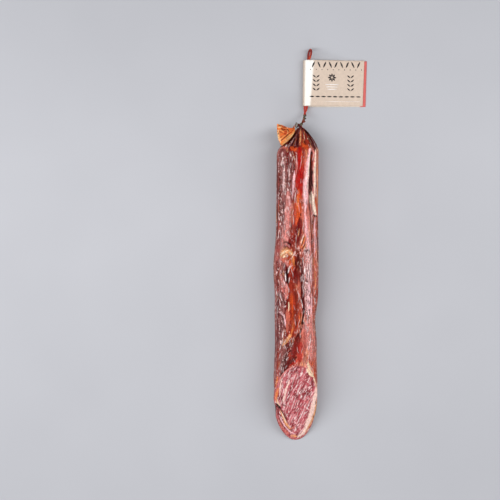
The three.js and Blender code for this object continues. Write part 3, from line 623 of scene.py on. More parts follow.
    "far side light b": (1.3, BLUSH, 0.9, 0.4, 0.7, (314.6, 338), (315, 360)),
    "far right red": (2.0, BROWN, 0.7, 0, 0.3, (315.2, 290), (314.8, 322), (315.4, 352)),
    "grey patch": (3.0, GREY, 0.95, 0.7, 0.3, (293, 342), (287.4, 348.5)),
    "grey glint": (0.7, WHITE, 0.95, 0.4, 0.9, (287.6, 344.4), (290.4, 343.6)),
    "grey tail": (3.0, GREY, 0.7, 0, 0.2, (286, 350), (284.4, 360), (282, 368)),
    "patch edge": (0.8, BLACK, 0.9, -0.5, 0.95, (292, 349.6), (286.6, 353.4)),
    "dark spot": (1.1, BLACK, 0.9, -0.5, 0.95, (284, 357), (287, 358.6)),
    "dark centre": (4.2, WINE, 0.9, 0, 0.85, (300, 336), (296, 346), (293, 358)),
    "red centre": (3.6, RED, 0.75, 0, 0.85, (300.6, 343), (300, 362)),
    "red side": (2.2, RUST, 0.6, 0, 0.8, (304.6, 332), (305, 360)),
    "deep red": (3.4, MAROON, 0.92, 0, 0.95, (296, 357.5), (287, 366), (280.5, 377)),
    "deep red glow": (1.5, RED, 0.8, 0, 0.8, (298, 360), (289, 366.5)),
    "left rust": (2, RUST, 0.7, 0, 0.5, (277.5, 345), (277, 374)),
    "orange edge": (2.1, AMBER, 0.85, 0.5, 0.6, (277.5, 377), (276, 392), (275.8, 403)),
    "edge cream": (0.8, CREAM, 0.85, 0.4, 0.8, (276.6, 386), (275.2, 396)),
    "fat edge halo": (3.4, ORANGE, 0.65, 0, 0.6, (307, 358), (312.6, 366), (316, 378)),
    "fat edge": (2.2, CREAM, 0.9, 0.6, 0.9, (307.6, 362), (310.4, 372), (314, 380.5), (316.6, 393)),
    "right skin": (3.4, FAT, 0.95, 0, 0.7, (317, 384), (317, 400), (314.6, 414), (309.5, 427), (302, 437)),
    "right skin edge": (1.5, FAT_EDGE, 1, 0, 0.5,
        (318.6, 388), (318, 402), (315.8, 414), (311.5, 425), (306, 434)),
}

MEAT = linear(182, 68, 78)
MEAT_PALE = linear(206, 108, 114)
MEAT_DARK = linear(126, 22, 32)
FAT_STREAK = linear(238, 160, 162)

# The cut face's strokes, in the same form.
CUT_STROKES = {
    "fat rim, top": (1.4, CREAM, 0.95, 0.3, 0.7, (306.5, 366.5), (308.3, 371.5), (312.5, 377)),
    "fat rim, thin": (0.8, CREAM, 0.9, 0.2, 0.7, (313.5, 378), (316, 384), (316.4, 391)),
    "fat rim": (2.7, FAT, 1, 0.4, 0.7,
        (316.6, 386), (315.4, 397), (313.6, 405), (311, 414), (307.5, 424), (304, 432), (298, 437)),
    "rim edge": (1.0, FAT_EDGE, 0.95, 0, 0.4,
        (318, 390), (317, 402), (314.6, 412), (310.5, 423), (305.5, 432)),
    "rim spot a": (0.6, BROWN, 0.7, 0, 0.4, (315.2, 400.5), (315.8, 404)),
    "rim spot b": (0.6, MAROON, 0.8, 0, 0.4, (313.2, 415), (313.7, 418)),
    "left rim": (1.4, AMBER, 0.9, 0.2, 0.6, (278, 388), (276.4, 396), (276.4, 402)),
    "left rim fat": (0.7, CREAM, 0.9, 0.3, 0.7, (277.3, 399), (278.2, 403.5), (280.3, 406.5)),
    "strip": (2.6, WINE, 0.85, 0, 0.6, (277.5, 409), (280.5, 418), (284.5, 425), (290, 431)),
    # The crease is painted shade, and its light a painted highlight.
    "crease": (1.2, BLACK, 1, 0, 0.3, (275.6, 403.2), (278.6, 406), (281, 408.8)),
    "crease, low": (0.6, WINE, 0.8, 0, 0.5, (281, 408.8), (284.6, 413), (287, 419), (289, 425)),
    "beside the crease": (1.1, BROWN, 0.8, 0, 0.4, (281.5, 404), (286, 406.5)),
    "crease lip": (1.4, APRICOT, 1, 0.4, 0.8, (280.4, 410.4), (283.4, 416.5), (286, 423.6), (290.4, 429)),
    "crease light": (0.6, PEARL, 0.9, 0.2, 0.9, (281.4, 411.6), (284, 417.6), (286.4, 423)),
    "strip fleck a": (0.6, PALE, 0.9, 0.2, 0.8, (279.2, 411.6), (280.6, 414.4)),
    "strip fleck b": (0.5, PALE, 0.9, 0.2, 0.8, (281, 416.4), (282.4, 419)),
    "strip seam": (0.9, SHEEN, 0.9, 0.4, 0.8,
        (279, 415), (281.6, 420.5), (285, 426), (290, 431.5), (295.5, 434)),
    "strip edge": (0.8, SALMON, 0.9, 0.2, 0.8, (278.4, 419), (281, 425), (285, 431)),
    "long streak": (1.1, FAT, 1, 0.1, 0.7, (289.8, 380), (287, 387), (285, 394), (283, 402)),
    "left streak": (0.8, FAT, 0.9, 0.1, 0.7, (282, 378), (280.4, 386), (279.6, 397)),
    "left edge streak": (0.6, BLUSH, 0.9, 0.1, 0.7, (284, 372.6), (280, 379), (278.4, 388)),
    "low streak": (0.6, PALE, 0.95, 0.1, 0.7, (303.6, 410.5), (301, 416), (298.3, 420.5)),
    "right streak": (0.5, PALE, 0.9, 0.1, 0.7, (310.5, 387), (307.8, 390)),
    "rim streak": (0.5, BLUSH, 0.8, 0.1, 0.7, (312, 396.5), (309, 400), (306, 405)),
    "lip": (0.7, BLUSH, 0.95, 0.2, 0.8,
        (282, 375.6), (286.6, 370.8), (292.6, 366.8), (299, 364.3), (304.6, 365.2)),
    "shade": (0.7, MEAT_DARK, 0.8, 0, 0.6, (283.6, 377), (288, 372.2), (293.4, 368.4), (299, 366)),
    "fleck a": (0.9, BLUSH, 0.9, 0.1, 0.7, (294.5, 373), (296.5, 375)),
    "fleck b": (0.8, PALE, 0.9, 0.1, 0.7, (307, 381.5), (308.7, 382.7)),
    "fleck c": (0.7, PALE, 0.9, 0.1, 0.7, (311.2, 391.5), (311.6, 392.7)),
    "fleck d": (0.6, PALE, 0.85, 0.1, 0.7, (299, 392), (301, 394.5)),
    "fleck e": (0.7, PALE, 0.85, 0.1, 0.7, (306.5, 407), (308.5, 410)),
    "top fleck a": (0.45, PALE, 0.9, 0.1, 0.7, (290.3, 370), (289.3, 372.5)),
    "top fleck b": (0.45, PALE, 0.9, 0.1, 0.7, (292.7, 368.5), (292, 371.3)),
    "top fleck c": (0.45, PALE, 0.9, 0.1, 0.7, (295.5, 367.5), (295.2, 370.5)),
    "low dark": (1.0, WINE, 0.75, 0, 0.6, (295.5, 424), (297.5, 429.5)),
    "low glow": (1.2, SALMON, 0.8, 0.1, 0.7, (290.5, 429), (294.5, 426.5)),
    "tip glow": (1.8, APRICOT, 0.85, 0.1, 0.7, (291, 435.5), (296.5, 436.5)),
    "left tip": (1.3, SALMON, 0.75, 0.1, 0.7, (285, 430), (289, 434.5)),
}

FAN_ORANGE = linear(250, 154, 80)
FAN_DARK = linear(226, 112, 48)
FAN_BROWN = linear(176, 80, 34)
FAN_LIGHT = linear(255, 186, 112)
FAN_PALE = linear(255, 208, 150)
# A painted shade for the fan's creases.
FAN_CREASE_SHADE = linear(122, 40, 12)

# The fan's strokes, in the same form.
FAN_STROKES = {
    "band": (2.6, FAN_LIGHT, 1, 0, 0.8, (295.4, 130.8), (291, 134.8), (286.8, 139.5), (282.8, 143.8)),
    "band light": (0.9, FAN_PALE, 0.8, 0.2, 0.9, (293, 133.8), (288.5, 138.6), (284.3, 142.6)),
    "band's edge": (0.6, FAN_CREASE_SHADE, 1, -0.6, 0.4, (297, 129), (291, 132.2), (286, 136.3), (280.8, 140.9)),
    "root": (3.0, FAN_ORANGE, 1, 0.2, 0.9, (297, 128.2), (292.5, 129.8), (288, 131)),
    "dark upper edge": (0.9, MAROON, 1, 0, 0.5, (283.6, 125), (286.4, 125.7), (289, 127)),
    "pale corner": (0.8, linear(206, 170, 116), 1, 0, 0.6, (278.2, 124.3), (281, 125)),
    "dark corner": (0.6, linear(112, 60, 16), 0.9, -0.2, 0.5, (278.6, 125.6), (281.6, 125.6)),
    "light corner": (1.1, FAN_PALE, 1, 0.2, 0.8, (278, 127.6), (281.4, 127.2)),
    "light side": (1.2, FAN_PALE, 0.9, 0.2, 0.8, (278.4, 130), (278.8, 137), (280.6, 143)),
    "fold a": (1.0, linear(188, 92, 60), 0.9, 0.2, 0.6, (282, 126.6), (286.4, 127.4)),
    "fold a gap": (0.7, FAN_CREASE_SHADE, 1, -0.5, 0.4, (281.4, 127.6), (283, 130), (285.6, 129.2)),
    "glint a": (0.7, linear(255, 208, 176), 1, 0.2, 1, (286.9, 127.4), (287.9, 128.4)),
    "fold b gap": (0.7, FAN_CREASE_SHADE, 0.9, -0.4, 0.4, (287, 129.2), (289.4, 131.8)),
    "fold b": (0.5, FAN_PALE, 0.9, 0.2, 0.9, (287.2, 130.2), (288.1, 132.4), (286.6, 134.2)),
    "rust patch": (1.1, linear(196, 78, 34), 0.9, 0, 0.5, (284.4, 133.8), (286.2, 131.8), (285.2, 135)),
    "left fold": (0.8, FAN_LIGHT, 0.8, 0.3, 0.8, (278.6, 130), (282, 131), (284, 132.4)),
    "left fold gap": (0.45, FAN_BROWN, 0.9, -0.3, 0.4, (279, 131.6), (283.4, 133.6)),
    "notch": (0.5, linear(88, 46, 22), 0.9, 0, 0.4, (278.5, 132.6), (278.5, 134.6)),
    "low spots": (0.7, FAN_BROWN, 0.8, -0.2, 0.4, (279.8, 137.6), (283, 136.4)),
    "low light": (0.6, FAN_LIGHT, 0.8, 0.2, 0.8, (280.2, 139.2), (284, 136.2)),
}

# ---- The loin's form -------------------------------------------------------------------------
# The same sizes as the solid's. Angles are in degrees round the body: 0 right, 90 top, 180 left.

THICKNESS = 53
UNDERSIDE_DIP = 1.4
TIP_DIP = 0.25
DIP_GROWS = (5, 70)  # from the tip's to the underside's, along y
SQUARENESS = (2.15, 2.0)  # of the upper and the lower half
LEFT_EDGE = profile([
    (-40, -24), (0, -25.8), (30, -29.3), (60, -31.6), (82, -32.2), (117, -30.4), (146, -29.6),
    (175, -30.1), (203, -30.2), (232, -31.8), (260, -31.8), (289, -28.9), (346, -27.5), (408, -27.5),
])
RIGHT_EDGE = profile([
    (-40, 31), (0, 31), (60, 30.8), (82, 31.2), (117, 30), (146, 29.6), (175, 28.2), (203, 31.8),
    (232, 32.8), (260, 32.8), (289, 32.4), (346, 32.4), (408, 32.7),
])
TOP_SWELL = profile([(-40, -1), (80, 0), (165, -3.5), (250, 0.5), (330, -1), (408, 0)])
SHOULDER_Y = 408
APEX_Y = 450.4
CONE_START = 0.25
CONE_SLOPE = 1.2
SHOULDER_ROUND = 0.07
TURN_TO_NECK = 0.75
LEAST_SIZE = 0.02
GATHER = (0.12, 0.9)
NECK = np.array([7.4, APEX_Y, 23.0])
NECK_RADIUS = 2.2
NECK_BEND_RADIUS = 2.9
NECK_TURN = math.radians(95)
NECK_STRAIGHT = 5
NECK_JOIN = 1.5
NECK_LENGTH = NECK_BEND_RADIUS * NECK_TURN + NECK_STRAIGHT
PLEATS = 13
PLEAT_DEPTH = 1.3
PLEAT_SHARE = 0.14
RELIEF_LOST = 0.8
GAP = 0.35

# A crease runs from one (y, angle) to another. Wobble is in degrees, and depth and width are in mm.
Crease = namedtuple("Crease", "start end wobble waves depth width")
CREASE_FADE = 0.12  # share of the length at each end
CREASES = [
    Crease((425, 56), (175, 34), 2.5, 1.5, 2.6, 3.0),
    Crease((420, 68), (205, 62), 2, 1, -1.5, 5.0),
    Crease((420, 104), (285, 112), 2, 1, 2.0, 3.6),
    Crease((335, 134), (190, 152), 4, 1.2, 2.2, 4.2),
    Crease((300, 83), (150, 98), 7, 2.5, 2.6, 5.0),
    Crease((172, 70), (118, 130), 2, 0.5, 2.4, 4.0),
    Crease((250, 64), (105, 60), 4, 1.5, 1.4, 4.5),
    Crease((200, 160), (60, 172), 3, 1, 1.6, 5.0),
    Crease((92, 186), (-20, 181), 0, 0, 2.6, 3.4),
]
HIDDEN_ANGLES = (190, 214, 238, 304, 327, 350)
for i, degrees in enumerate(HIDDEN_ANGLES):
    CREASES.append(Crease(
        start=(412 - 17 * (i % 3), degrees), end=(20 + 35 * (i % 2), degrees + 8 * math.sin(2.4 * i)),
        wobble=3 + i % 3, waves=1.6 + 0.4 * (i % 4), depth=1.5 + 0.35 * (i % 3), width=4.5))

CUT_TOP_Y = 114
CUT_LEAN = 0.06


def turn_about(axis, angle):
    """The matrix that turns about x (0), y (1) or z (2)."""
    c, s = math.cos(angle), math.sin(angle)
    matrix = np.eye(3)
    a, b = [k for k in range(3) if k != axis]
    matrix[a, a] = matrix[b, b] = c
    matrix[a, b], matrix[b, a] = (s, -s) if axis == 1 else (-s, s)
    return matrix


# Its columns are the cut plane's two directions and its normal, out of the meat.
CUT_AXES = turn_about(0, math.atan2(THICKNESS, CUT_TOP_Y)) @ turn_about(1, math.atan(CUT_LEAN))


def cut_y(x, z):
    """Where the cut plane is, at x and z."""
    normal = CUT_AXES[:, 2]
    return -(normal[0] * x + normal[2] * z) / normal[1]


def section(y):
    """Centre x and z, half width, half height and gathering of the cross-section at y."""
    along = np.minimum(y, SHOULDER_Y)
    left, right = LEFT_EDGE(along), RIGHT_EDGE(along)
    top = THICKNESS + TOP_SWELL(along)
    dip = lerp(TIP_DIP, UNDERSIDE_DIP, smoothstep(y, *DIP_GROWS))
    u = np.clip((y - SHOULDER_Y) / (APEX_Y - SHOULDER_Y), 0, 1)
    lost = CONE_SLOPE * SHOULDER_ROUND * np.log1p(np.exp((u - CONE_START) / SHOULDER_ROUND))
    size = np.maximum(1 - lost, LEAST_SIZE)
    x = lerp((left + right) / 2, NECK[0], smoothstep(u, 0, TURN_TO_NECK))
    z = lerp((top - dip) / 2, NECK[2], smoothstep(u, 1 - TURN_TO_NECK, 1))
    return x, z, (right - left) / 2 * size, (top + dip) / 2 * size, smoothstep(u, *GATHER)


def relief(y, degrees, radius):
    """How far the creases take the surface in."""
    depth = np.zeros(np.broadcast(y, degrees).shape)
    for crease in CREASES:
        t = (y - crease.start[0]) / (crease.end[0] - crease.start[0])
        fade = smoothstep(t, 0, CREASE_FADE) * (1 - smoothstep(t, 1 - CREASE_FADE, 1))
        middle = lerp(crease.start[1], crease.end[1], t)
        middle = middle + crease.wobble * np.sin(2 * math.pi * crease.waves * t)
        turn = (degrees - middle + 180) % 360 - 180
        depth += crease.depth * fade * np.exp(-(np.radians(turn) * radius / crease.width) ** 2)
    return depth


FINE_PLEATS = 37
FINE_PLEAT_DEPTH = 0.3
FINE_PLEAT_SHARE = 0.2  # of the room for a pleat
FINE_PLEAT_SWAY = 3


def body_point(y, angle):
    """The surface at y and an angle in radians, with its creases and gathers."""
    x, z, half_width, half_height, gather = section(y)
    c, n = np.cos(angle), np.sin(angle)
    power = np.where(n > 0, *SQUARENESS)
    inward = relief(y, np.degrees(angle), half_width) * (1 - RELIEF_LOST * gather)
    room = PLEAT_SHARE * half_width
    inward = inward - gather * np.minimum(PLEAT_DEPTH, room) * np.cos(PLEATS * angle)
    sway = FINE_PLEAT_SWAY * np.sin(3 * angle)
    fine = np.minimum(FINE_PLEAT_DEPTH, FINE_PLEAT_SHARE * room) * np.cos(FINE_PLEATS * angle + sway)
    inward = inward - gather * fine
    return np.stack([
        x + half_width * signed_power(c, 2 / power) - inward * c,
        y + 0 * c,
        z + half_height * signed_power(n, 2 / power) - inward * n,
    ], axis=-1)


def above_loin(x, y, margin=0.0):
    """Height at x and y of the surface that far outside the loin's upper side."""
    middle, z, half_width, half_height, _ = section(y)
    off = np.minimum(1, np.abs(x - middle) / (half_width + margin))
    return z + (half_height + margin) * (1 - off ** SQUARENESS[0]) ** (1 / SQUARENESS[0])


def neck_frame(distance):
    """The neck's middle line that far along it, its direction and the direction to its right."""
    turn = min(distance / NECK_BEND_RADIUS, NECK_TURN)
    along = np.array([-math.sin(turn), math.cos(turn), 0])
    side = np.array([math.cos(turn), math.sin(turn), 0])
    straight = max(0, distance - NECK_BEND_RADIUS * NECK_TURN)
    centre = NECK + [-NECK_BEND_RADIUS, 0, 0]
    return centre + NECK_BEND_RADIUS * side + straight * along, along, side


# ---- Painting --------------------------------------------------------------------------------

FIRST_HEIGHT = 0.8 * THICKNESS  # where the search for a point starts
SEARCHES = 8
LINE_STEPS = 4
FRAY = [(0.34, (1.3, 7, 1.3), 11), (0.26, (0.8, 2.6, 0.8), 12)]  # share, lump size and seed
WEAR = 0.06
WEAR_LUMPS = ((0.9, 4.5, 0.9), 13)
WORN_FROM = (0.1, 0.7)
# A stroke's edge, its reach and the width of its rise, in half widths.
EDGE = (0.5, 1.2)
REACH = 1.8
RISE_WIDTH = 0.8
NARROWING = 0.65  # at its ends


def under_pixels(pixels, height_at):
    """The points of a surface that the photograph shows at some pixels."""
    px, py = np.array(pixels, float).T
    camera = CAMERA - TIP
    z = np.full(len(px), FIRST_HEIGHT)
    for _ in range(SEARCHES):
        scale = (camera[2] - z) / FOCAL_PIXELS
        x = camera[0] + (px - PHOTO_SIZE / 2) * scale
        y = camera[1] + (PHOTO_SIZE / 2 - py) * scale
        z = height_at(x, y)
    return np.stack([x, y, z], axis=-1)


def cut_height(x, y):
    normal = CUT_AXES[:, 2]
    return -(normal[0] * x + normal[1] * y) / normal[2]


def along_line(points, line):
    """How far each point is from a line of points, and the share of the line's length there."""
    nearest = np.full(len(points), np.inf)
    share = np.zeros(len(points))
    lengths = np.linalg.norm(np.diff(line, axis=0), axis=1)
    travelled = np.concatenate([[0], np.cumsum(lengths)])
    for k, (a, b) in enumerate(zip(line, line[1:])):
        t = np.clip((points - a) @ (b - a) / max(lengths[k] ** 2, 1e-9), 0, 1)
        far = np.linalg.norm(points - a - t[:, None] * (b - a), axis=1)
        closer = far < nearest
        nearest = np.where(closer, far, nearest)
        share = np.where(closer, (travelled[k] + t * lengths[k]) / travelled[-1], share)
    return nearest, share


def traced(rows, height_at):
    """The strokes of some rows, with their lines on the surface that the photograph shows there."""
    strokes = []
    for half_width, colour, strength, rise, gloss, *pixels in rows.values():
        line = smooth_line(under_pixels(pixels, height_at), LINE_STEPS)
        strokes.append(Stroke(half_width, colour, strength, rise, gloss, line))
    return strokes


def paint(points, strokes, colours, gloss, lift, weight=None):
    """Lays the strokes on the points. Colours, gloss and lift are changed in place."""
    fray = layered(points, FRAY)
    worn = 1 - WEAR * smoothstep(noise(points, *WEAR_LUMPS), *WORN_FROM)
    for stroke in strokes:
        reach = stroke.half_width * PIXEL * REACH
        near = np.all((points > stroke.line.min(0) - reach) & (points < stroke.line.max(0) + reach), axis=1)
        if not near.any():
            continue
        far, share = along_line(points[near], stroke.line)
        narrowing = 1 - NARROWING * np.abs(2 * share - 1) ** 3
        across = far / (stroke.half_width * PIXEL * narrowing)
        cover = stroke.strength * (1 - smoothstep(across + fray[near], *EDGE)) * worn[near]
        if weight is not None:
            cover = cover * weight[near]
        colours[near] = lerp(colours[near], stroke.colour, cover[:, None])
        gloss[near] = lerp(gloss[near], stroke.gloss, cover)
        lift[near] += stroke.rise * np.exp(-((across / RISE_WIDTH) ** 2))


# ---- The casing ------------------------------------------------------------------------------

AROUND = 330
BODY_ROWS = 286
LIP_ROWS = 3
NECK_ROWS = 9
TOP_SHARE = 0.524  # more points round the upper side: 0 would spread them evenly
ROWS_SHARE = 0.25  # more rows towards the neck: 0 would spread them evenly
LIP = 0.5  # radius of the casing's edge at the cut
NECK_RIDGES = 0.03
WRINKLES = 300
WRINKLES_ABOVE = 0.65  # share of them on the upper side
WRINKLE_START = (70, 432)
WRINKLE_LENGTH = (4, 17)
WRINKLE_SLANT = 5  # degrees round the body, at most
WRINKLE_SWAY = 1.6
WRINKLE_GLINT = (1.4, 2.2)  # degrees from the gap
WRINKLE_HALF_WIDTH = (0.32, 0.62)  # pixels, as in every stroke
SHORTER_ON_LEFT = 0.55
WRINKLE_SEED = 7

# The casing's colours round the body, as angles in degrees. The strokes cover most of the top.
ROUND_COLOURS = [
    (0, RUST), (28, SALMON), (55, BLUSH), (75, SALMON), (92, RUST), (112, WINE), (128, PLUM),
    (152, ROSE), (172, PLUM), (196, BROWN), (220, RUST), (246, ROSE), (272, PLUM), (300, RUST),
    (325, SALMON), (345, BROWN), (360, RUST),
]

WARP = [(13, (20, 70, 20), 21), (7, (5, 22, 5), 22)]  # of those angles, in degrees

# Patches: lump size in mm, where one sets in and is full, colour, share and seed.
CASING_PATCHES = [
    ((3.5, 26, 3.5), 0.25, 0.60, WINE, 0.55, 23),
    ((3, 16, 3), 0.35, 0.70, APRICOT, 0.45, 24),
]
GATHER_LINES = [
    ((1.7, 34, 1.7), 0.30, 0.50, RUST, 0.7, 26),
    ((1.3, 34, 1.3), 0.42, 0.62, AMBER, 0.6, 27),
    ((1.2, 34, 1.2), 0.46, 0.66, FROST_AND_GLARE, 0.75, 28),
    ((1.5, 34, 1.5), 0.28, 0.48, BLACK, 0.8, 29),
]
GATHERED_FROM = (414, 426)
GATHERED_SHARE = 0.96
GATHER_TONE_LUMPS = ((3.2, 60, 3.2), 25)
GATHER_TONES = (-0.3, 0.5)
GATHERED_RADIUS = 30  # at which the lines in the gathers are laid out

# Relief: share in mm, lump size in mm and seed.
UNEVENNESS = [(0.45, (13, 45, 13), 31), (0.25, (5, 22, 5), 32)]
LONG_WRINKLES = [(0.34, (2.6, 15, 2.6), 33), (0.2, (1.4, 6, 1.4), 34)]
CREPING = [(0.3, (1.3, 2.6, 1.3), 35)]
CREPING_SETS_IN = (96, 112)  # degrees round the body
CREPING_ENDS = (176, 190)
RELIEF_ENDS = (415, 440)
HELD_AT_CUT = (0.3, 3)  # no relief nearer than the first of these
HELD_AT_NECK = (0.5, 14)

CASING_GLOSS = 0.6
GLOSS_LUMPS = [(0.25, (8, 30, 8), 41)]
GATHERED_GLOSS = 0.85
GATHERED_GLOSS_FROM = (410, 420)
DULLEST = 1.3
WRINKLE_SHARE = (0.2, 0.85)  # of the fine wrinkles, most where the casing is dull
ABOVE = (10, 170)  # degrees round the body, for the fine wrinkles
BELOW = (170, 370)
LEFT_FROM = 100
WRINKLE_SHARES = np.array([0, 0.35, 0.7, 1])  # of its length, the points of a fine wrinkle
# A fine wrinkle's gap is a line of painted shade, and its light a painted glint.
WRINKLE_SHADE = (MAROON, 0.8, -0.4)  # colour, strength and rise
WRINKLE_LIGHT = (WHITE, 0.85, 0.35)
WRINKLE_GLOSS = 0.8
CUT_EDGE_GUESS = 50.0  # y, where the search for the cut's edge starts
CUT_EDGE_SEARCHES = 12
EVEN_ANGLES = 2000
HOLLOW_SHADE = 0.45
HOLLOW_DEPTHS = (0.6, 2.6)  # of a crease, where its shade sets in and is full


def angles_round():
    """Angles round the body, closer together on the upper side."""
    even = np.linspace(0, 2 * math.pi, EVEN_ANGLES)
    share = (even + TOP_SHARE * (1 - np.cos(even))) / (2 * math.pi)
    return np.interp(np.arange(AROUND) / AROUND, share, even)


def cut_edge(angle):
    """Where the cut meets the surface, at each angle."""
    y = np.full(angle.shape, CUT_EDGE_GUESS)
    for _ in range(CUT_EDGE_SEARCHES):
        point = body_point(y, angle)
        y = cut_y(point[..., 0], np.maximum(point[..., 2], 0))
    return y


def casing_grid():
    """The casing's points in rows from the cut to the neck's end, and each point's angle."""
    angle = angles_round()
    start = cut_edge(angle) + LIP
    t = np.linspace(0, 1, BODY_ROWS)[:, None]
    y = lerp(start[None, :], APEX_Y - NECK_JOIN, t * (1 + ROWS_SHARE - ROWS_SHARE * t))
    body = body_point(y, angle[None, :])
    out = np.stack([np.cos(angle), 0 * angle, np.sin(angle)], axis=-1)
    lip = []
    for k in range(LIP_ROWS):
        bend = math.pi / 2 * (1 - k / LIP_ROWS)
        ring = body[0] - LIP * (1 - math.cos(bend)) * out - [0, LIP * math.sin(bend), 0]
        ring[:, 1] = np.maximum(ring[:, 1], cut_y(ring[:, 0], ring[:, 2]))
        lip.append(ring)
    neck = []
    for k in range(NECK_ROWS):
        point, _, side = neck_frame(NECK_LENGTH * k / (NECK_ROWS - 1))
        around = np.cos(angle)[:, None] * side + np.sin(angle)[:, None] * [0, 0, 1]
        ridge = 1 + NECK_RIDGES * np.cos(PLEATS * angle)[:, None]
        neck.append(point + NECK_RADIUS * ridge * around)
    grid = np.concatenate([lip, body, neck])
    return grid, np.broadcast_to(angle, grid.shape[:2])


def casing_colours(points, degrees):
    """The casing's own colours, before the strokes."""
    warped = (degrees + layered(points, WARP)) % 360
    stops = np.array([stop[0] for stop in ROUND_COLOURS])
    tones = np.array([stop[1] for stop in ROUND_COLOURS])
    colours = np.stack([np.interp(warped, stops, tones[:, k]) for k in range(3)], axis=-1)
    colours = patched(colours, points, CASING_PATCHES)
    gathered = smoothstep(points[:, 1], *GATHERED_FROM)[:, None]
    turn = np.radians(degrees)
    x, z = GATHERED_RADIUS * np.cos(turn), GATHERED_RADIUS * np.sin(turn)
    fanned = np.stack([x, points[:, 1], z], axis=-1)
    tone = smoothstep(noise(fanned, *GATHER_TONE_LUMPS), *GATHER_TONES)[:, None]
    colours = lerp(colours, lerp(DUSK, MAROON, tone), GATHERED_SHARE * gathered)
    return patched(colours, fanned, GATHER_LINES, gathered)


def wrinkle(points, degrees):
    """Unevenness, long wrinkles and creping of the casing, outwards in mm."""
    creped = smoothstep(degrees, *CREPING_SETS_IN) * (1 - smoothstep(degrees, *CREPING_ENDS))
    long = layered(points, UNEVENNESS) + ridged(points, LONG_WRINKLES)
    return (long + creped * ridged(points, CREPING)) * (1 - smoothstep(points[:, 1], *RELIEF_ENDS))


def fine_wrinkles():
    """Short wrinkles all over the casing: a dark gap of painted shade with a painted glint beside it."""
    draw = np.random.default_rng(WRINKLE_SEED)
    strokes = []
    for _ in range(WRINKLES):
        upper = draw.random() < WRINKLES_ABOVE
        middle = draw.uniform(*(ABOVE if upper else BELOW))
        start = draw.uniform(*WRINKLE_START)
        length = draw.uniform(*WRINKLE_LENGTH) * (SHORTER_ON_LEFT if middle > LEFT_FROM else 1.0)
        y = start + WRINKLE_SHARES * length
        slant = draw.uniform(-WRINKLE_SLANT, WRINKLE_SLANT) * (y - start) / length
        degrees = middle + slant + draw.uniform(-WRINKLE_SWAY, WRINKLE_SWAY, len(WRINKLE_SHARES))
        apart = draw.uniform(*WRINKLE_GLINT)
        half_width = draw.uniform(*WRINKLE_HALF_WIDTH)
        for side, look in ((0, WRINKLE_SHADE), (apart, WRINKLE_LIGHT)):
            line = smooth_line(body_point(y, np.radians(degrees + side)), 3)
            strokes.append(Stroke(half_width, *look, WRINKLE_GLOSS, line))
    return strokes


def make_casing():
    grid, angle = casing_grid()
    points = grid.reshape(-1, 3)
    degrees = np.degrees(angle).ravel()
    colours = casing_colours(points, degrees)
    gloss = CASING_GLOSS + layered(points, GLOSS_LUMPS)
    gloss = lerp(gloss, GATHERED_GLOSS, smoothstep(points[:, 1], *GATHERED_GLOSS_FROM))
    lift = wrinkle(points, degrees)
    paint(points, traced(CASING_STROKES, above_loin), colours, gloss, lift)
    dull = np.clip(DULLEST - gloss, *WRINKLE_SHARE)
    paint(points, fine_wrinkles(), colours, gloss, lift, dull)
    hollow = relief(points[:, 1], degrees, section(points[:, 1])[2])
    colours = lerp(colours, MAROON, HOLLOW_SHADE * smoothstep(hollow, *HOLLOW_DEPTHS)[:, None])
    from_cut = points[:, 1] - cut_y(points[:, 0], points[:, 2])
    to_neck = NECK[1] - points[:, 1]
    free = smoothstep(from_cut, *HELD_AT_CUT) * smoothstep(to_neck, *HELD_AT_NECK)
    moved = points - (lift * free)[:, None] * normals_of(grid).reshape(-1, 3)
    moved[:, 2] = np.maximum(moved[:, 2], 0)
    moved = np.vstack([moved, moved[-AROUND:].mean(0)])
    last = np.arange(AROUND) + len(points) - AROUND
    end = [[a, len(points), b] for a, b in zip(last, np.roll(last, -1))]
    faces = [quad[::-1] for quad in grid_faces(len(grid), AROUND, True)] + end
    colours = np.vstack([colours, AMBER])
    gloss = np.append(gloss, 0.5)
    make_piece("loin_casing", moved, faces, casing_material(), ["loin"], colours, gloss)
    return moved[:AROUND]


# ---- The cut face ----------------------------------------------------------------------------

CUT_ROWS = 112
CUT_MIDDLE = np.array([1.0, 24.0])  # x and z
SEAM_LINE = [(-34, 25), (-28, 24.1), (-22, 21.6), (-16, 17.2), (-11.5, 11.9), (-9.6, 8)]
SEAM_DEPTH = 1.9
SEAM_HALF_WIDTH = 1.1
SEAM_FADE = 0.9
SEAM_FADES = (0.6, 1)  # as shares of its length
SEAM_SHADE = 0.8
SEAM_EDGE = 1.2  # in half widths, where its slope ends
MARBLINGS = 260
MARBLED_X = (-27, 29)
MARBLED_Y = (8, 110)
MARBLING_LENGTH = (1.6, 8)
MARBLING_SLANTS = (76, 50)  # degrees, at these two x
MARBLING_SLANTS_X = (-22, 26)
MARBLING_UNEVEN = 12  # degrees, at most
MARBLING_BOW = 0.5
MARBLING_HALF_WIDTH = (0.3, 0.6)  # pixels, as in every stroke
MARBLING_RISE = 0.08
MARBLING_GLOSS = 0.7
MARBLING_SEED = 3

CUT_RELIEF = [(0.22, (1.4, 3.5, 1.4), 62), (0.3, (6, 9, 6), 63)]  # share, lump size and seed
MEAT_LUMPS = ((9, 3.2, 1), 51)
MEAT_DARKER = 1.3
CUT_GLOSS = 0.6
CUT_GLOSS_LUMPS = [(0.3, (6, 6, 6), 61)]
SKIN = (0.955, 0.985)  # where the casing's own tone sets in, as shares of the way to the edge
SKIN_SHARE = 0.7
FLAT_RIM = (0.93, 1.0)  # where the relief ends

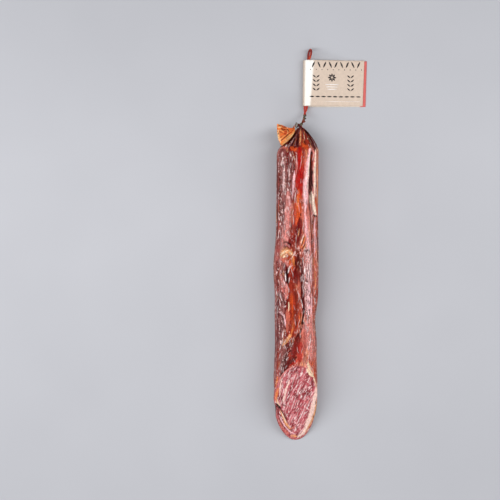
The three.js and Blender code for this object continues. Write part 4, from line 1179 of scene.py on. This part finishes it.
# Flecks of fat: size in mm along and across the grain, where they set in and are full, colour,
# share and seed.
FLECKS = [
    ((8, 1.7, 1), 0.42, 0.66, PALE, 0.6, 52),
    ((3.6, 0.9, 1), 0.44, 0.70, PALE, 0.5, 53),
    ((1.8, 0.7, 1), 0.48, 0.75, PALE, 0.5, 54),
]
GRAIN = np.array([0.3, 1.0, 0.0]) / math.hypot(0.3, 1.0)  # the way that the marbling runs


def seam_points():
    """The seam's line, from the cut face's own x and z to the loin's frame."""
    rise = math.hypot(CUT_TOP_Y, THICKNESS) / THICKNESS
    flat = np.array([(x, z * rise, 0) for x, z in SEAM_LINE])
    return smooth_line(flat @ CUT_AXES.T, 5)


def meat_colours(points):
    """The meat's own tones, drawn out along the grain, with flecks of fat."""
    across = points @ np.cross(GRAIN, [0, 0, 1])
    grain = np.stack([points @ GRAIN, across, 0 * across], axis=-1)
    tone = noise(grain, *MEAT_LUMPS)[:, None]
    colours = lerp(MEAT, MEAT_PALE, np.clip(tone, 0, 1))
    colours = lerp(colours, MEAT_DARK, np.clip(-MEAT_DARKER * tone, 0, 1))
    return patched(colours, grain, FLECKS)


def marbling():
    """Short streaks of fat in the cut face, steeper on the left."""
    draw = np.random.default_rng(MARBLING_SEED)
    strokes = []
    for k in range(MARBLINGS):
        x, y = draw.uniform(*MARBLED_X), draw.uniform(*MARBLED_Y)
        slant = lerp(*MARBLING_SLANTS, (x - MARBLING_SLANTS_X[0]) / np.ptp(MARBLING_SLANTS_X))
        slant = math.radians(slant + draw.uniform(-MARBLING_UNEVEN, MARBLING_UNEVEN))
        t = np.array([0, 0.5, 1]) * draw.uniform(*MARBLING_LENGTH)
        bow = draw.uniform(-MARBLING_BOW, MARBLING_BOW) * np.array([0, 1, 0])
        x, y = x + t * math.cos(slant) + bow, y + t * math.sin(slant)
        line = smooth_line(np.stack([x, y, cut_height(x, y)], axis=-1), 3)
        colour = (PALE, FAT_STREAK, MEAT_DARK)[k % 3]
        half_width = draw.uniform(*MARBLING_HALF_WIDTH)
        strokes.append(Stroke(half_width, colour, 1, MARBLING_RISE, MARBLING_GLOSS, line))
    return strokes


def make_cut(edge):
    """The bare cut face, inside the edge of the casing."""
    middle = np.array([CUT_MIDDLE[0], cut_y(*CUT_MIDDLE), CUT_MIDDLE[1]])
    share = np.linspace(0, 1, CUT_ROWS)[1:, None, None]
    points = (middle + share * (edge - middle)).reshape(-1, 3)
    points = np.vstack([points, middle])
    colours = meat_colours(points)
    gloss = CUT_GLOSS + layered(points, CUT_GLOSS_LUMPS)
    lift = layered(points, CUT_RELIEF)
    rim = np.append(np.repeat(share.ravel(), AROUND), 0)
    colours = lerp(colours, ROSE, SKIN_SHARE * smoothstep(rim, *SKIN)[:, None])
    paint(points, marbling() + traced(CUT_STROKES, cut_height), colours, gloss, lift)
    far, along = along_line(points, seam_points())
    fade = 1 - SEAM_FADE * smoothstep(along, *SEAM_FADES)
    seam = fade * (1 - smoothstep(far / (SEAM_HALF_WIDTH * fade), 0, SEAM_EDGE))
    colours = lerp(colours, MAROON, SEAM_SHADE * seam[:, None])
    lift = lift * (1 - smoothstep(rim, *FLAT_RIM)) - SEAM_DEPTH * seam
    points = points + lift[:, None] * CUT_AXES[:, 2]
    points[:, 2] = np.maximum(points[:, 2], 0)
    centre = len(points) - 1
    first = np.arange(AROUND)
    faces = [quad[::-1] for quad in grid_faces(CUT_ROWS - 1, AROUND, True)]
    faces += [[a, b, centre] for a, b in zip(first, np.roll(first, -1))]
    make_piece("loin_cut", points, faces, meat_material(), ["loin"], colours, gloss)


# ---- Thin shells -----------------------------------------------------------------------------


def shell_faces(rows, columns):
    """Closes two grids of points, an upper and then a lower one, into a thin shell."""
    upper = grid_faces(rows, columns, False)
    count = rows * columns
    lower = [[v + count for v in quad[::-1]] for quad in upper]
    index = np.arange(count).reshape(rows, columns)
    border = [*index[0, :-1], *index[:-1, -1], *index[-1, :0:-1], *index[:0:-1, 0]]
    sides = [[b, a, a + count, b + count] for a, b in zip(border, border[1:] + border[:1])]
    return upper + lower + sides


# ---- The casing's fan ------------------------------------------------------------------------

FAN_ANGLES = (177, 238)  # of its two edges, in degrees
FAN_DROOP = (80, 41)  # how much more each edge turns at its root
DROOP_FADE = (2.5, 1.5)
DROOP_START = 0.2
FAN_LENGTH = (26.3, 37)  # of its two edges
FAN_HOLLOW = 2.5
FAN_PLEATS = 6
FAN_PLEAT_DEPTH = 1.5
FAN_FLAT_BAND = 0.6
FLAT_BAND_FROM = (0.6, 0.85)
FAN_THICKNESS = (4.2, 1.1)  # at the root and further out
FAN_THINNED = 0.5  # share of the way out
FAN_RISE = 10
FAN_RISE_POWER = 1.3
FAN_CLEARANCE = 2.5
FAN_ROOT = 0.03
FAN_GAP = 0.55
FAN_SPREAD = 0.35
FAN_LIFTED = 0.25
FAN_LIFT_OUT = (0.02, 0.2)
FAN_ACROSS = 180
FAN_OUT = 80
FAN_MIDDLE = 30.0  # mm, a middle height of the fan, for its strokes
FLAT_SIZE = 30  # mm, the fan laid out flat, for its noises
# Of each of these, the share, lump size and seed.
FAN_FRAY = (0.9, (1.6, 100, 1), 71)
FAN_RELIEF = [(0.22, (1.2, 12, 1), 73)]
FAN_RIBS = (0.35, (9, 0.9, 1), 76)
FRAYED_FROM = 0.8  # share of the way out
RIBBED_FROM = (0.62, 0.75)  # shares of the way across
RIBS_SET_IN = (0.1, 0.5)
FAN_GLOSS = 0.6
# Patches: lump size, where one sets in and is full, colour, share and seed.
FAN_PATCHES = [
    ((2, 16, 1), -0.4, 0.5, FAN_ORANGE, 1, 74),
    ((1.1, 12, 1), 0.1, 0.6, FAN_BROWN, 0.45, 75),
]


def make_fan():
    """The casing's fan, a thin pleated shell that lies over the left shoulder."""
    root, _, _ = neck_frame(NECK_LENGTH + FAN_GAP - FAN_ROOT * FAN_LENGTH[0])
    across, out = np.meshgrid(np.linspace(0, 1, FAN_ACROSS), np.linspace(FAN_ROOT, 1, FAN_OUT))
    flat = np.stack([across * FLAT_SIZE, out * FLAT_SIZE, 0 * out], axis=-1)
    fade = (1 - out) ** lerp(*DROOP_FADE, across) * smoothstep(out, 0, DROOP_START)
    angle = np.radians(lerp(*FAN_ANGLES, across) + lerp(*FAN_DROOP, across) * fade)
    length = lerp(*FAN_LENGTH, across) - FAN_HOLLOW * np.sin(math.pi * across)
    frayed, lump, seed = FAN_FRAY
    length = length - frayed * np.abs(noise(flat, lump, seed)) * smoothstep(out, FRAYED_FROM, 1)
    x = root[0] + length * out * np.cos(angle)
    y = root[1] + length * out * np.sin(angle)
    half = lerp(*FAN_THICKNESS, smoothstep(out, 0, FAN_THINNED)) / 2
    free = root[2] + FAN_RISE * out**FAN_RISE_POWER
    lying = np.maximum(free, above_loin(x, y, half + FAN_CLEARANCE))
    on_shoulder = smoothstep(across, 0, FAN_LIFTED) * smoothstep(out, *FAN_LIFT_OUT)
    spread = smoothstep(out, 0, FAN_SPREAD)
    flatter = 1 - FAN_FLAT_BAND * smoothstep(across, *FLAT_BAND_FROM)
    z = lerp(free, lying, on_shoulder)
    z = z + FAN_PLEAT_DEPTH * flatter * spread * np.cos(2 * math.pi * FAN_PLEATS * across)

    seen = np.stack([x, y, np.full(x.shape, FAN_MIDDLE)], axis=-1).reshape(-1, 3)
    colours = patched(FAN_DARK, flat.reshape(-1, 3), FAN_PATCHES)
    gloss = np.full(len(seen), FAN_GLOSS)
    lift = (layered(flat, FAN_RELIEF) * spread).ravel()
    paint(seen, traced(FAN_STROKES, lambda x, y: np.full(x.shape, FAN_MIDDLE)), colours, gloss, lift)
    ribbed, lump, seed = FAN_RIBS
    ribs = smoothstep(noise(flat, lump, seed), *RIBS_SET_IN) * smoothstep(across, *RIBBED_FROM)
    colours = lerp(colours, FAN_DARK, ribbed * ribs.reshape(-1, 1))
    z = z + lift.reshape(z.shape)
    points = np.concatenate([np.stack([x, y, z + half], -1), np.stack([x, y, z - half], -1)])
    faces = [face[::-1] for face in shell_faces(FAN_OUT, FAN_ACROSS)]
    make_piece("fan_skin", points, faces, dry_casing_material(), ["casing_fan"],
               np.concatenate([colours, colours]), np.concatenate([gloss, gloss]))


# ---- Yarn: the cord and its knot -------------------------------------------------------------

CORD = (2.4, 3.0)  # diameter, tight and swollen
SWELL = (0.25, 0.33)
LOOP_BEND = 5.6
LOOP_TILT = math.radians(72)
TILT = (0.5, 0.85)
TWIST_TURNS = 1.75
TWIST_END = 0.31
LOOP_START = 0.88
BEND_SHARE = 0.06
SIDE_BY_SIDE = 0.15
CORD_LINE = [
    (10.0, 456.7, 26.3), (11.6, 458.9, 24.2), (12.7, 461.6, 20.2), (13.2, 464.6, 15.2),
    (13.8, 468.8, 10.0), (14.5, 474.6, 5.8), (15.4, 483.0, 3.6), (15.8, 495.0, 3.4),
    (16.9, 520.0, 3.9), (18.6, 541.0, 4.7), (19.4, 549.5, 5.8), (21.0, 557.9, 7.2),
]
CORD_STEPS = 620
AHEAD = 0.001  # share of the pair's length, to find its direction
TWIST_POWER = 5  # the higher, the later the twist eases out
FIRST_SIDE = [0.31, 0.2, 0.93]  # any direction that no yarn starts along
PLY_ROUNDING = 0.6
YARN_SIDES = 24
YARN_PLIES = 3
YARN_LAY = 8.0  # mm of cord for each turn of the plies
YARN_RELIEF = (0.2, 0.05)  # of the twisted yarn and of the smooth loop, as a share of the radius
YARN_GLOSS = (0.15, 1.0)
PLY_COLOURS = np.array([linear(34, 26, 16), linear(88, 66, 38), linear(58, 26, 16)])
PLY_HOLLOW_SHADE = 0.4  # painted shade in the hollows between the plies
FLECK = linear(222, 202, 162)
FLECK_SHARE = 0.8
FLECK_FROM = (0.55, 0.8)
FLECK_STEP = 0.55  # radians from one ring of the yarn to the next
FLECKS_ROUND = 3
FLECK_DRIFT = (1.7, 0.37)  # amount, and rate as a share of the steps
CORD_BROWN = linear(142, 50, 28)
CORD_RED = linear(206, 58, 46)
# Painted shade and painted highlights of the loop, laid as patches by noise.
LOOP_SHADE = linear(70, 12, 6)
LOOP_RED = linear(140, 24, 12)
LOOP_HIGHLIGHT = linear(190, 72, 44)
# Where the cord's tones set in, as shares of the strand's length from the knot.
KNOT_TONE_ENDS = (0.022, 0.034)
DYED_FROM = (0.082, 0.096)
LOOP_FROM = (0.40, 0.45)
KNOT_TONE = 0.75
DYED = 0.88
LOOP_LUMPS = ((3.5, 6, 3.5), 81)
ORANGE_FROM = (0.1, 0.6)
DARK_FROM = (0.3, 0.7)
DARK_SHARE = 0.6

KNOT = np.array([8.15, 454.25, 27.45])
KNOT_RADIUS = 1.6
KNOT_YARN = 0.95
KNOT_STEPS = 72
KNOT_GLOSS = 0.2
KNOT_TURNS = ((0.5, 0.4, 0), (1.7, 0.3, 0.5), (0.4, 1.6, 0.9))


def at_lengths(line, shares):
    """Points at shares of the line's length."""
    travelled = np.concatenate([[0], np.cumsum(np.linalg.norm(np.diff(line, axis=0), axis=1))])
    where = np.asarray(shares) * travelled[-1]
    return np.stack([np.interp(where, travelled, line[:, k]) for k in range(3)], axis=-1)


def unit(vectors):
    return vectors / np.linalg.norm(vectors, axis=-1, keepdims=True)


def strand_line():
    """The strand's middle line, out along the pair, round the loop and back, and its radius."""
    t = np.linspace(0, 1, CORD_STEPS)
    reach = 0.5 - BEND_SHARE / 2
    s = np.minimum(np.minimum(t / reach, (1 - t) / reach), 1)
    radius = lerp(*CORD, smoothstep(s, *SWELL)) / 2
    pair = smooth_line(CORD_LINE, 40)
    point = at_lengths(pair, s)
    ahead, behind = np.minimum(s + AHEAD, 1), np.maximum(s - AHEAD, 0)
    along = unit(at_lengths(pair, ahead) - at_lengths(pair, behind))
    right = unit(np.cross(along, [0, 0, 1]))
    up = unit(np.cross(right, along))
    twisted = np.minimum(s / TWIST_END, 1)
    ease = 1 / (TWIST_POWER - 1)
    untwisted = 1 - (1 + ease) * twisted + ease * twisted**TWIST_POWER
    turn = (LOOP_TILT * smoothstep(s, *TILT) + 2 * math.pi * TWIST_TURNS * untwisted)[:, None]
    across = right * np.cos(turn) + up * np.sin(turn)
    off = lerp(radius + SIDE_BY_SIDE, LOOP_BEND, smoothstep(s, LOOP_START, 1))[:, None]
    swing = (np.clip((t - 0.5) / BEND_SHARE + 0.5, 0, 1) * math.pi)[:, None]
    return point + across * off * np.cos(swing) + along * off * np.sin(swing), radius


def yarn_tube(line, radius, closed, relief_share):
    """Rings of points round a line, with plies twisted round each other, and each point's ply phase."""
    if closed:
        along = unit(np.roll(line, -1, axis=0) - np.roll(line, 1, axis=0))
    else:
        along = unit(np.gradient(line, axis=0))
    side = unit(np.cross(along[0], FIRST_SIDE))
    travelled = np.concatenate([[0], np.cumsum(np.linalg.norm(np.diff(line, axis=0), axis=1))])
    around = np.arange(YARN_SIDES) / YARN_SIDES * 2 * math.pi
    rings, phases = [], []
    for k, direction in enumerate(along):
        side = unit(side - (side @ direction) * direction)
        other = np.cross(direction, side)
        phase = (around + 2 * math.pi * travelled[k] / YARN_LAY) % (2 * math.pi)
        lobe = np.abs(np.sin(phase * YARN_PLIES / 2))
        size = radius[k] * (1 - relief_share[k] * (1 - lobe**PLY_ROUNDING))
        out = np.cos(around)[:, None] * side + np.sin(around)[:, None] * other
        rings.append(line[k] + size[:, None] * out)
        phases.append(phase)
    return np.array(rings), np.array(phases)


def ply_colours(phases):
    """Each ply's tone, with painted shade between the plies, and pale flecks."""
    ply = np.minimum((phases / (2 * math.pi) * YARN_PLIES).astype(int), YARN_PLIES - 1)
    hollow = np.abs(np.sin(phases * YARN_PLIES / 2))[..., None]
    colours = PLY_COLOURS[ply] * lerp(PLY_HOLLOW_SHADE, 1, smoothstep(hollow, 0, 0.5))
    rows = np.arange(len(phases))[:, None] * FLECK_STEP
    drift = FLECK_DRIFT[0] * np.sin(FLECK_DRIFT[1] * rows)
    fleck = np.sin(rows) * np.sin(FLECKS_ROUND * phases + drift)
    return lerp(colours, FLECK, FLECK_SHARE * smoothstep(fleck, *FLECK_FROM)[..., None])


def make_cord(knot):
    line, radius = strand_line()
    share = np.linspace(0, 1, CORD_STEPS)
    from_knot = 0.5 - np.abs(share - 0.5)
    smooth_loop = smoothstep(from_knot, *LOOP_FROM)
    rings, phases = yarn_tube(line, radius, False, lerp(*YARN_RELIEF, smooth_loop))
    near_knot = 1 - smoothstep(from_knot, *KNOT_TONE_ENDS)[:, None, None]
    dyed = smoothstep(from_knot, *DYED_FROM)[:, None, None]
    colours = lerp(ply_colours(phases), CORD_BROWN, KNOT_TONE * near_knot)
    colours = lerp(colours, CORD_RED, DYED * dyed)
    # The loop's dark patches are painted shade and its orange ones painted highlights.
    patches = noise(rings, *LOOP_LUMPS)[..., None]
    loop = lerp(LOOP_RED, LOOP_HIGHLIGHT, smoothstep(patches, *ORANGE_FROM))
    loop = lerp(loop, LOOP_SHADE, DARK_SHARE * smoothstep(-patches, *DARK_FROM))
    colours = lerp(colours, loop, smooth_loop[:, None, None])
    gloss = np.repeat(lerp(*YARN_GLOSS, smooth_loop), YARN_SIDES)
    points = rings.reshape(-1, 3)
    faces = grid_faces(CORD_STEPS, YARN_SIDES, True)
    last = len(points) - YARN_SIDES
    faces += [list(range(YARN_SIDES))[::-1], list(range(last, len(points)))]
    cord = make_piece("cord_strand", points, faces, YARN, ["cord"], colours, gloss)


def make_knot():
    points, faces, colours = [], [], []
    steps = KNOT_STEPS
    turns = np.arange(steps) / steps * 2 * math.pi
    ring = KNOT_RADIUS * np.stack([np.cos(turns), np.sin(turns), 0 * turns], axis=-1)
    for k, (a, b, c) in enumerate(KNOT_TURNS):
        turned = ring @ (turn_about(0, a) @ turn_about(1, b) @ turn_about(2, c)).T + KNOT
        rings, phases = yarn_tube(turned, np.full(steps, KNOT_YARN), True, np.full(steps, YARN_RELIEF[0]))
        base = k * steps * YARN_SIDES
        index = np.arange(steps * YARN_SIDES).reshape(steps, YARN_SIDES) + base
        after = np.roll(index, -1, axis=0)
        quads = np.stack([index, np.roll(index, -1, 1), np.roll(after, -1, 1), after], axis=-1)
        faces += quads.reshape(-1, 4).tolist()
        points.append(rings.reshape(-1, 3))
        colours.append(ply_colours(phases).reshape(-1, 3))
    points = np.concatenate(points)
    return make_piece("knot_yarn", points, faces, YARN, ["cord_knot"],
                      np.concatenate(colours), np.full(len(points), KNOT_GLOSS))


# ---- The tag ---------------------------------------------------------------------------------

CARD = 0.45
TAG_BOTTOM_Y = 482.2
TAG_HEIGHT = 66
# These pairs are for the tag's bottom and its top.
SPINE_X = (10.9, 11.7)
SPINE_RADIUS = (4.3, 5.2)
FRONT_EDGE_X = (97.5, 100.0)
BACK_EDGE_X = (101.7, 103.6)
LIGHT_TO = (11, 15.5)  # from the spine's left, where the light on it ends

LIGHT_FROM = (1, 4)  # from the spine's left, where the light sets in and is full
LIGHT_EDGE = (-2, 1)  # round LIGHT_TO
BACK_DROP = 1.0
RED_STRIP = 9
LEAF_STEPS = 60
ARC_STEPS = 24
TAG_ROWS = 34
CARD_FRONT = linear(212, 192, 174)
CARD_INSIDE = linear(228, 216, 200)
SPINE_PALE_AND_LIT = linear(254, 250, 242)
CARD_RED = linear(212, 98, 92)
INK = linear(34, 24, 22)
FOIL = linear(246, 240, 236)
INK_HEIGHT = 0.05
LEVEL_FROM = 0.85  # share of the way to the front edge
LENS_POINTS = 9  # on each side
BAR_STEP = 4


def leaf_height(x, v):
    """Height of the front leaf's middle at x and v, which is 0 at the tag's bottom and 1 at its top."""
    radius = lerp(*SPINE_RADIUS, v)
    spine = lerp(*SPINE_X, v) + radius
    t = (x - spine) / (lerp(*FRONT_EDGE_X, v) - spine)
    low = CARD + GAP
    return CARD / 2 + low + (2 * radius - low) * (1 - smoothstep(t, 0, LEVEL_FROM))


def tag_line(v):
    """The card's middle line at v as (x, z, drop), from the back edge round to the front."""
    radius = lerp(*SPINE_RADIUS, v)
    spine = lerp(*SPINE_X, v) + radius
    line = []
    for t in np.linspace(0, 1, LEAF_STEPS, endpoint=False):
        line.append((lerp(lerp(*BACK_EDGE_X, v), spine, t), CARD / 2, BACK_DROP))
    for t in np.arange(ARC_STEPS) / ARC_STEPS:
        a = -math.pi / 2 - t * math.pi
        height = CARD / 2 + radius * (1 + math.sin(a))
        line.append((spine + radius * math.cos(a), height, BACK_DROP * (1 - t)))
    for t in np.linspace(0, 1, LEAF_STEPS):
        x = lerp(spine, lerp(*FRONT_EDGE_X, v), t)
        line.append((x, leaf_height(x, v), 0))
    return np.array(line)


def make_tag():
    outside, inside, colours = [], [], []
    for v in np.linspace(0, 1, TAG_ROWS):
        line = tag_line(v)
        y = TAG_BOTTOM_Y + TAG_HEIGHT * v - line[:, 2]
        along = unit(np.gradient(line[:, :2], axis=0))
        out = CARD / 2 * np.stack([-along[:, 1], 0 * y, along[:, 0]], axis=-1)
        middle = np.stack([line[:, 0], y, line[:, 1]], axis=-1)
        outside.append(middle + out)
        inside.append(middle - out)
        # The band on the spine is paler card with a painted highlight where the card rolls round.
        from_spine = line[:, 0] - lerp(*SPINE_X, v)
        past_light = smoothstep(from_spine - lerp(*LIGHT_TO, v), *LIGHT_EDGE)
        on_spine = smoothstep(from_spine, *LIGHT_FROM) * (1 - past_light)
        on_back = np.arange(len(line)) < LEAF_STEPS
        tint = lerp(CARD_FRONT, SPINE_PALE_AND_LIT, on_spine[:, None])
        red = on_back * smoothstep(line[:, 0] - lerp(*BACK_EDGE_X, v) + RED_STRIP, 0, 1)
        colours.append(np.where(on_back[:, None], lerp(CARD_INSIDE, CARD_RED, red[:, None]), tint))
    columns = len(outside[0])
    points = np.concatenate([np.array(outside), np.array(inside)])
    faces = shell_faces(TAG_ROWS, columns)
    make_piece("tag_leaf", points, faces, card_material(), ["tag"],
               np.concatenate([colours, colours]))


def lens(width, height, tilt):
    """The outline of a pointed leaf, turned by an angle in degrees."""
    t = np.linspace(0, 1, LENS_POINTS)
    bulge = width / 2 * np.sin(math.pi * t)
    outline = [*zip(bulge, (t - 0.5) * height), *zip(-bulge[-2:0:-1], (t[-2:0:-1] - 0.5) * height)]
    a = math.radians(tilt)
    return [(x * math.cos(a) - y * math.sin(a), x * math.sin(a) + y * math.cos(a)) for x, y in outline]


def bar(width, height):
    """The outline of a bar, with enough points to lie on the bent leaf."""
    x = np.linspace(-width / 2, width / 2, max(2, int(width / BAR_STEP)))
    return [*((a, -height / 2) for a in x), *((a, height / 2) for a in x[::-1])]


# Rows of the ornament: how many, the first one's x, the step and y above the tag's bottom.
TOP_LEAVES = (9, 26, 8.2, 59.5)
DOTS = (10, 22, 8.2, 52.3)
LOW_LEAVES = (9, 24, 8.4, 13.5)
# Widths and heights of their shapes.
TOP_LEAF = (2.4, 10.5)
DOT = (1.2, 1.9)
LOW_LEAF = (2.1, 7.5)
TOP_TILT = 24
ROSETTE = (53, 41)
ROSETTE_LEAVES = 8
ROSETTE_LEAF = (2.5, 5.2)
ROSETTE_RADIUS = 3.6
PALE_LINES = [(31, 19), (27.6, 16), (24.2, 13)]  # y and length
PALE_LINE = 1.0
SPRIGS_X = (30, 80)
SPRIG_PAIRS_Y = (24, 30.2, 36.4, 42.6)
SPRIG_LEAF = (2.0, 6.4)
SPRIG_SPREAD = 2.6
SPRIG_TILT = 52
BOTTOM_LINE = (56, 6.5)
BOTTOM_LINE_SIZE = (74, 0.5)


def in_row(count, first_x, step, y):
    return [(first_x + step * k, y) for k in range(count)]


def print_motifs():
    """The tag's plain generic ornament: (middle x, middle y above the bottom, outline, colour)."""
    motifs = []
    for k, place in enumerate(in_row(*TOP_LEAVES)):
        motifs.append((*place, lens(*TOP_LEAF, TOP_TILT if k % 2 else -TOP_TILT), INK))
    for place in in_row(*DOTS):
        motifs.append((*place, lens(*DOT, 0), INK))
    for k in range(ROSETTE_LEAVES):
        degrees = 360 / ROSETTE_LEAVES * k
        turn = math.radians(-degrees)
        x, y = ROSETTE_RADIUS * math.sin(turn), ROSETTE_RADIUS * math.cos(turn)
        motifs.append((ROSETTE[0] + x, ROSETTE[1] + y, lens(*ROSETTE_LEAF, degrees), INK))
    for y, length in PALE_LINES:
        motifs.append((ROSETTE[0], y, bar(length, PALE_LINE), FOIL))
    for middle in SPRIGS_X:
        for y in SPRIG_PAIRS_Y:
            for side in (1, -1):
                leaf = lens(*SPRIG_LEAF, -side * SPRIG_TILT)
                motifs.append((middle + side * SPRIG_SPREAD, y, leaf, INK))
    for place in in_row(*LOW_LEAVES):
        motifs.append((*place, lens(*LOW_LEAF, 90), INK))
    motifs.append((*BOTTOM_LINE, bar(*BOTTOM_LINE_SIZE), FOIL))
    return motifs


def make_print():
    """The ornament, as thin closed shapes on the front leaf."""
    points, faces, colours = [], [], []
    for x, y, outline, colour in print_motifs():
        outline = np.array(outline) + [x, y]
        count = len(outline)
        ring = np.vstack([outline, outline.mean(0)])
        base = len(points)
        for height in (INK_HEIGHT, -INK_HEIGHT):
            z = leaf_height(ring[:, 0], ring[:, 1] / TAG_HEIGHT) + CARD / 2 + height
            points += [(a, TAG_BOTTOM_Y + b, c) for (a, b), c in zip(ring, z)]
        colours += [colour] * (2 * (count + 1))
        for a in range(count):
            b = (a + 1) % count
            upper, lower = base, base + count + 1
            faces.append([upper + a, upper + b, upper + count])
            faces.append([lower + b, lower + a, lower + count])
            faces.append([lower + a, lower + b, upper + b, upper + a])
    make_piece("tag_print", points, faces, ink_material(), (), np.array(colours))


# ---- Floor and light -------------------------------------------------------------------------

FLOOR_CORNERS = [(-6, -6), (6, -6), (6, 6), (-6, 6)]  # metres
FLOOR_Z = -0.0002  # just below the part, which is at 0
AIM = (0, 0, 0.03)
LIGHTS = [  # name, place, aim, width, height along Y and energy, in metres and watts
    ("key", (0.80, 0.35, 1.0), AIM, 0.16, 1.3, 8.5),
    ("fill", (-0.75, 0.1, 1.0), AIM, 0.25, 1.3, 10),
    ("front", (0.1, -1.3, 0.9), (0, -0.1, 0.03), 0.9, 0.4, 5),
]
SKY = linear(250, 250, 255)
SKY_STRENGTH = 0.31


def make_floor():
    mesh = bpy.data.meshes.new("floor")
    mesh.from_pydata([(x, y, FLOOR_Z) for x, y in FLOOR_CORNERS], [], [(0, 1, 2, 3)])
    mesh.materials.append(floor_material())
    floor = bpy.data.objects.new("floor", mesh)
    bpy.context.scene.collection.objects.link(floor)


def make_light(name, place, aim, width, height, energy):
    """A soft box at a place, turned to another."""
    data = bpy.data.lights.new(name, "AREA")
    data.shape = "RECTANGLE"
    data.size = width
    data.size_y = height
    data.energy = energy
    light = bpy.data.objects.new(name, data)
    light.location = place
    light.rotation_euler = (Vector(place) - Vector(aim)).to_track_quat("Z", "Y").to_euler()
    bpy.context.scene.collection.objects.link(light)


def make_lights():
    for light in LIGHTS:
        make_light(*light)
    world = bpy.data.worlds.new("studio")
    world.use_nodes = True
    background = world.node_tree.nodes["Background"]
    background.inputs["Color"].default_value = (*SKY, 1)
    background.inputs["Strength"].default_value = SKY_STRENGTH
    bpy.context.scene.world = world
    bpy.context.scene.view_settings.view_transform = "Standard"


# ---- Assembly --------------------------------------------------------------------------------

YARN = yarn_material()
make_cord(make_knot())
make_cut(make_casing())
make_fan()
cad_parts["clip"].data.materials.clear()
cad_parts["clip"].data.materials.append(clip_material())
make_tag()
make_print()
make_floor()
make_lights()
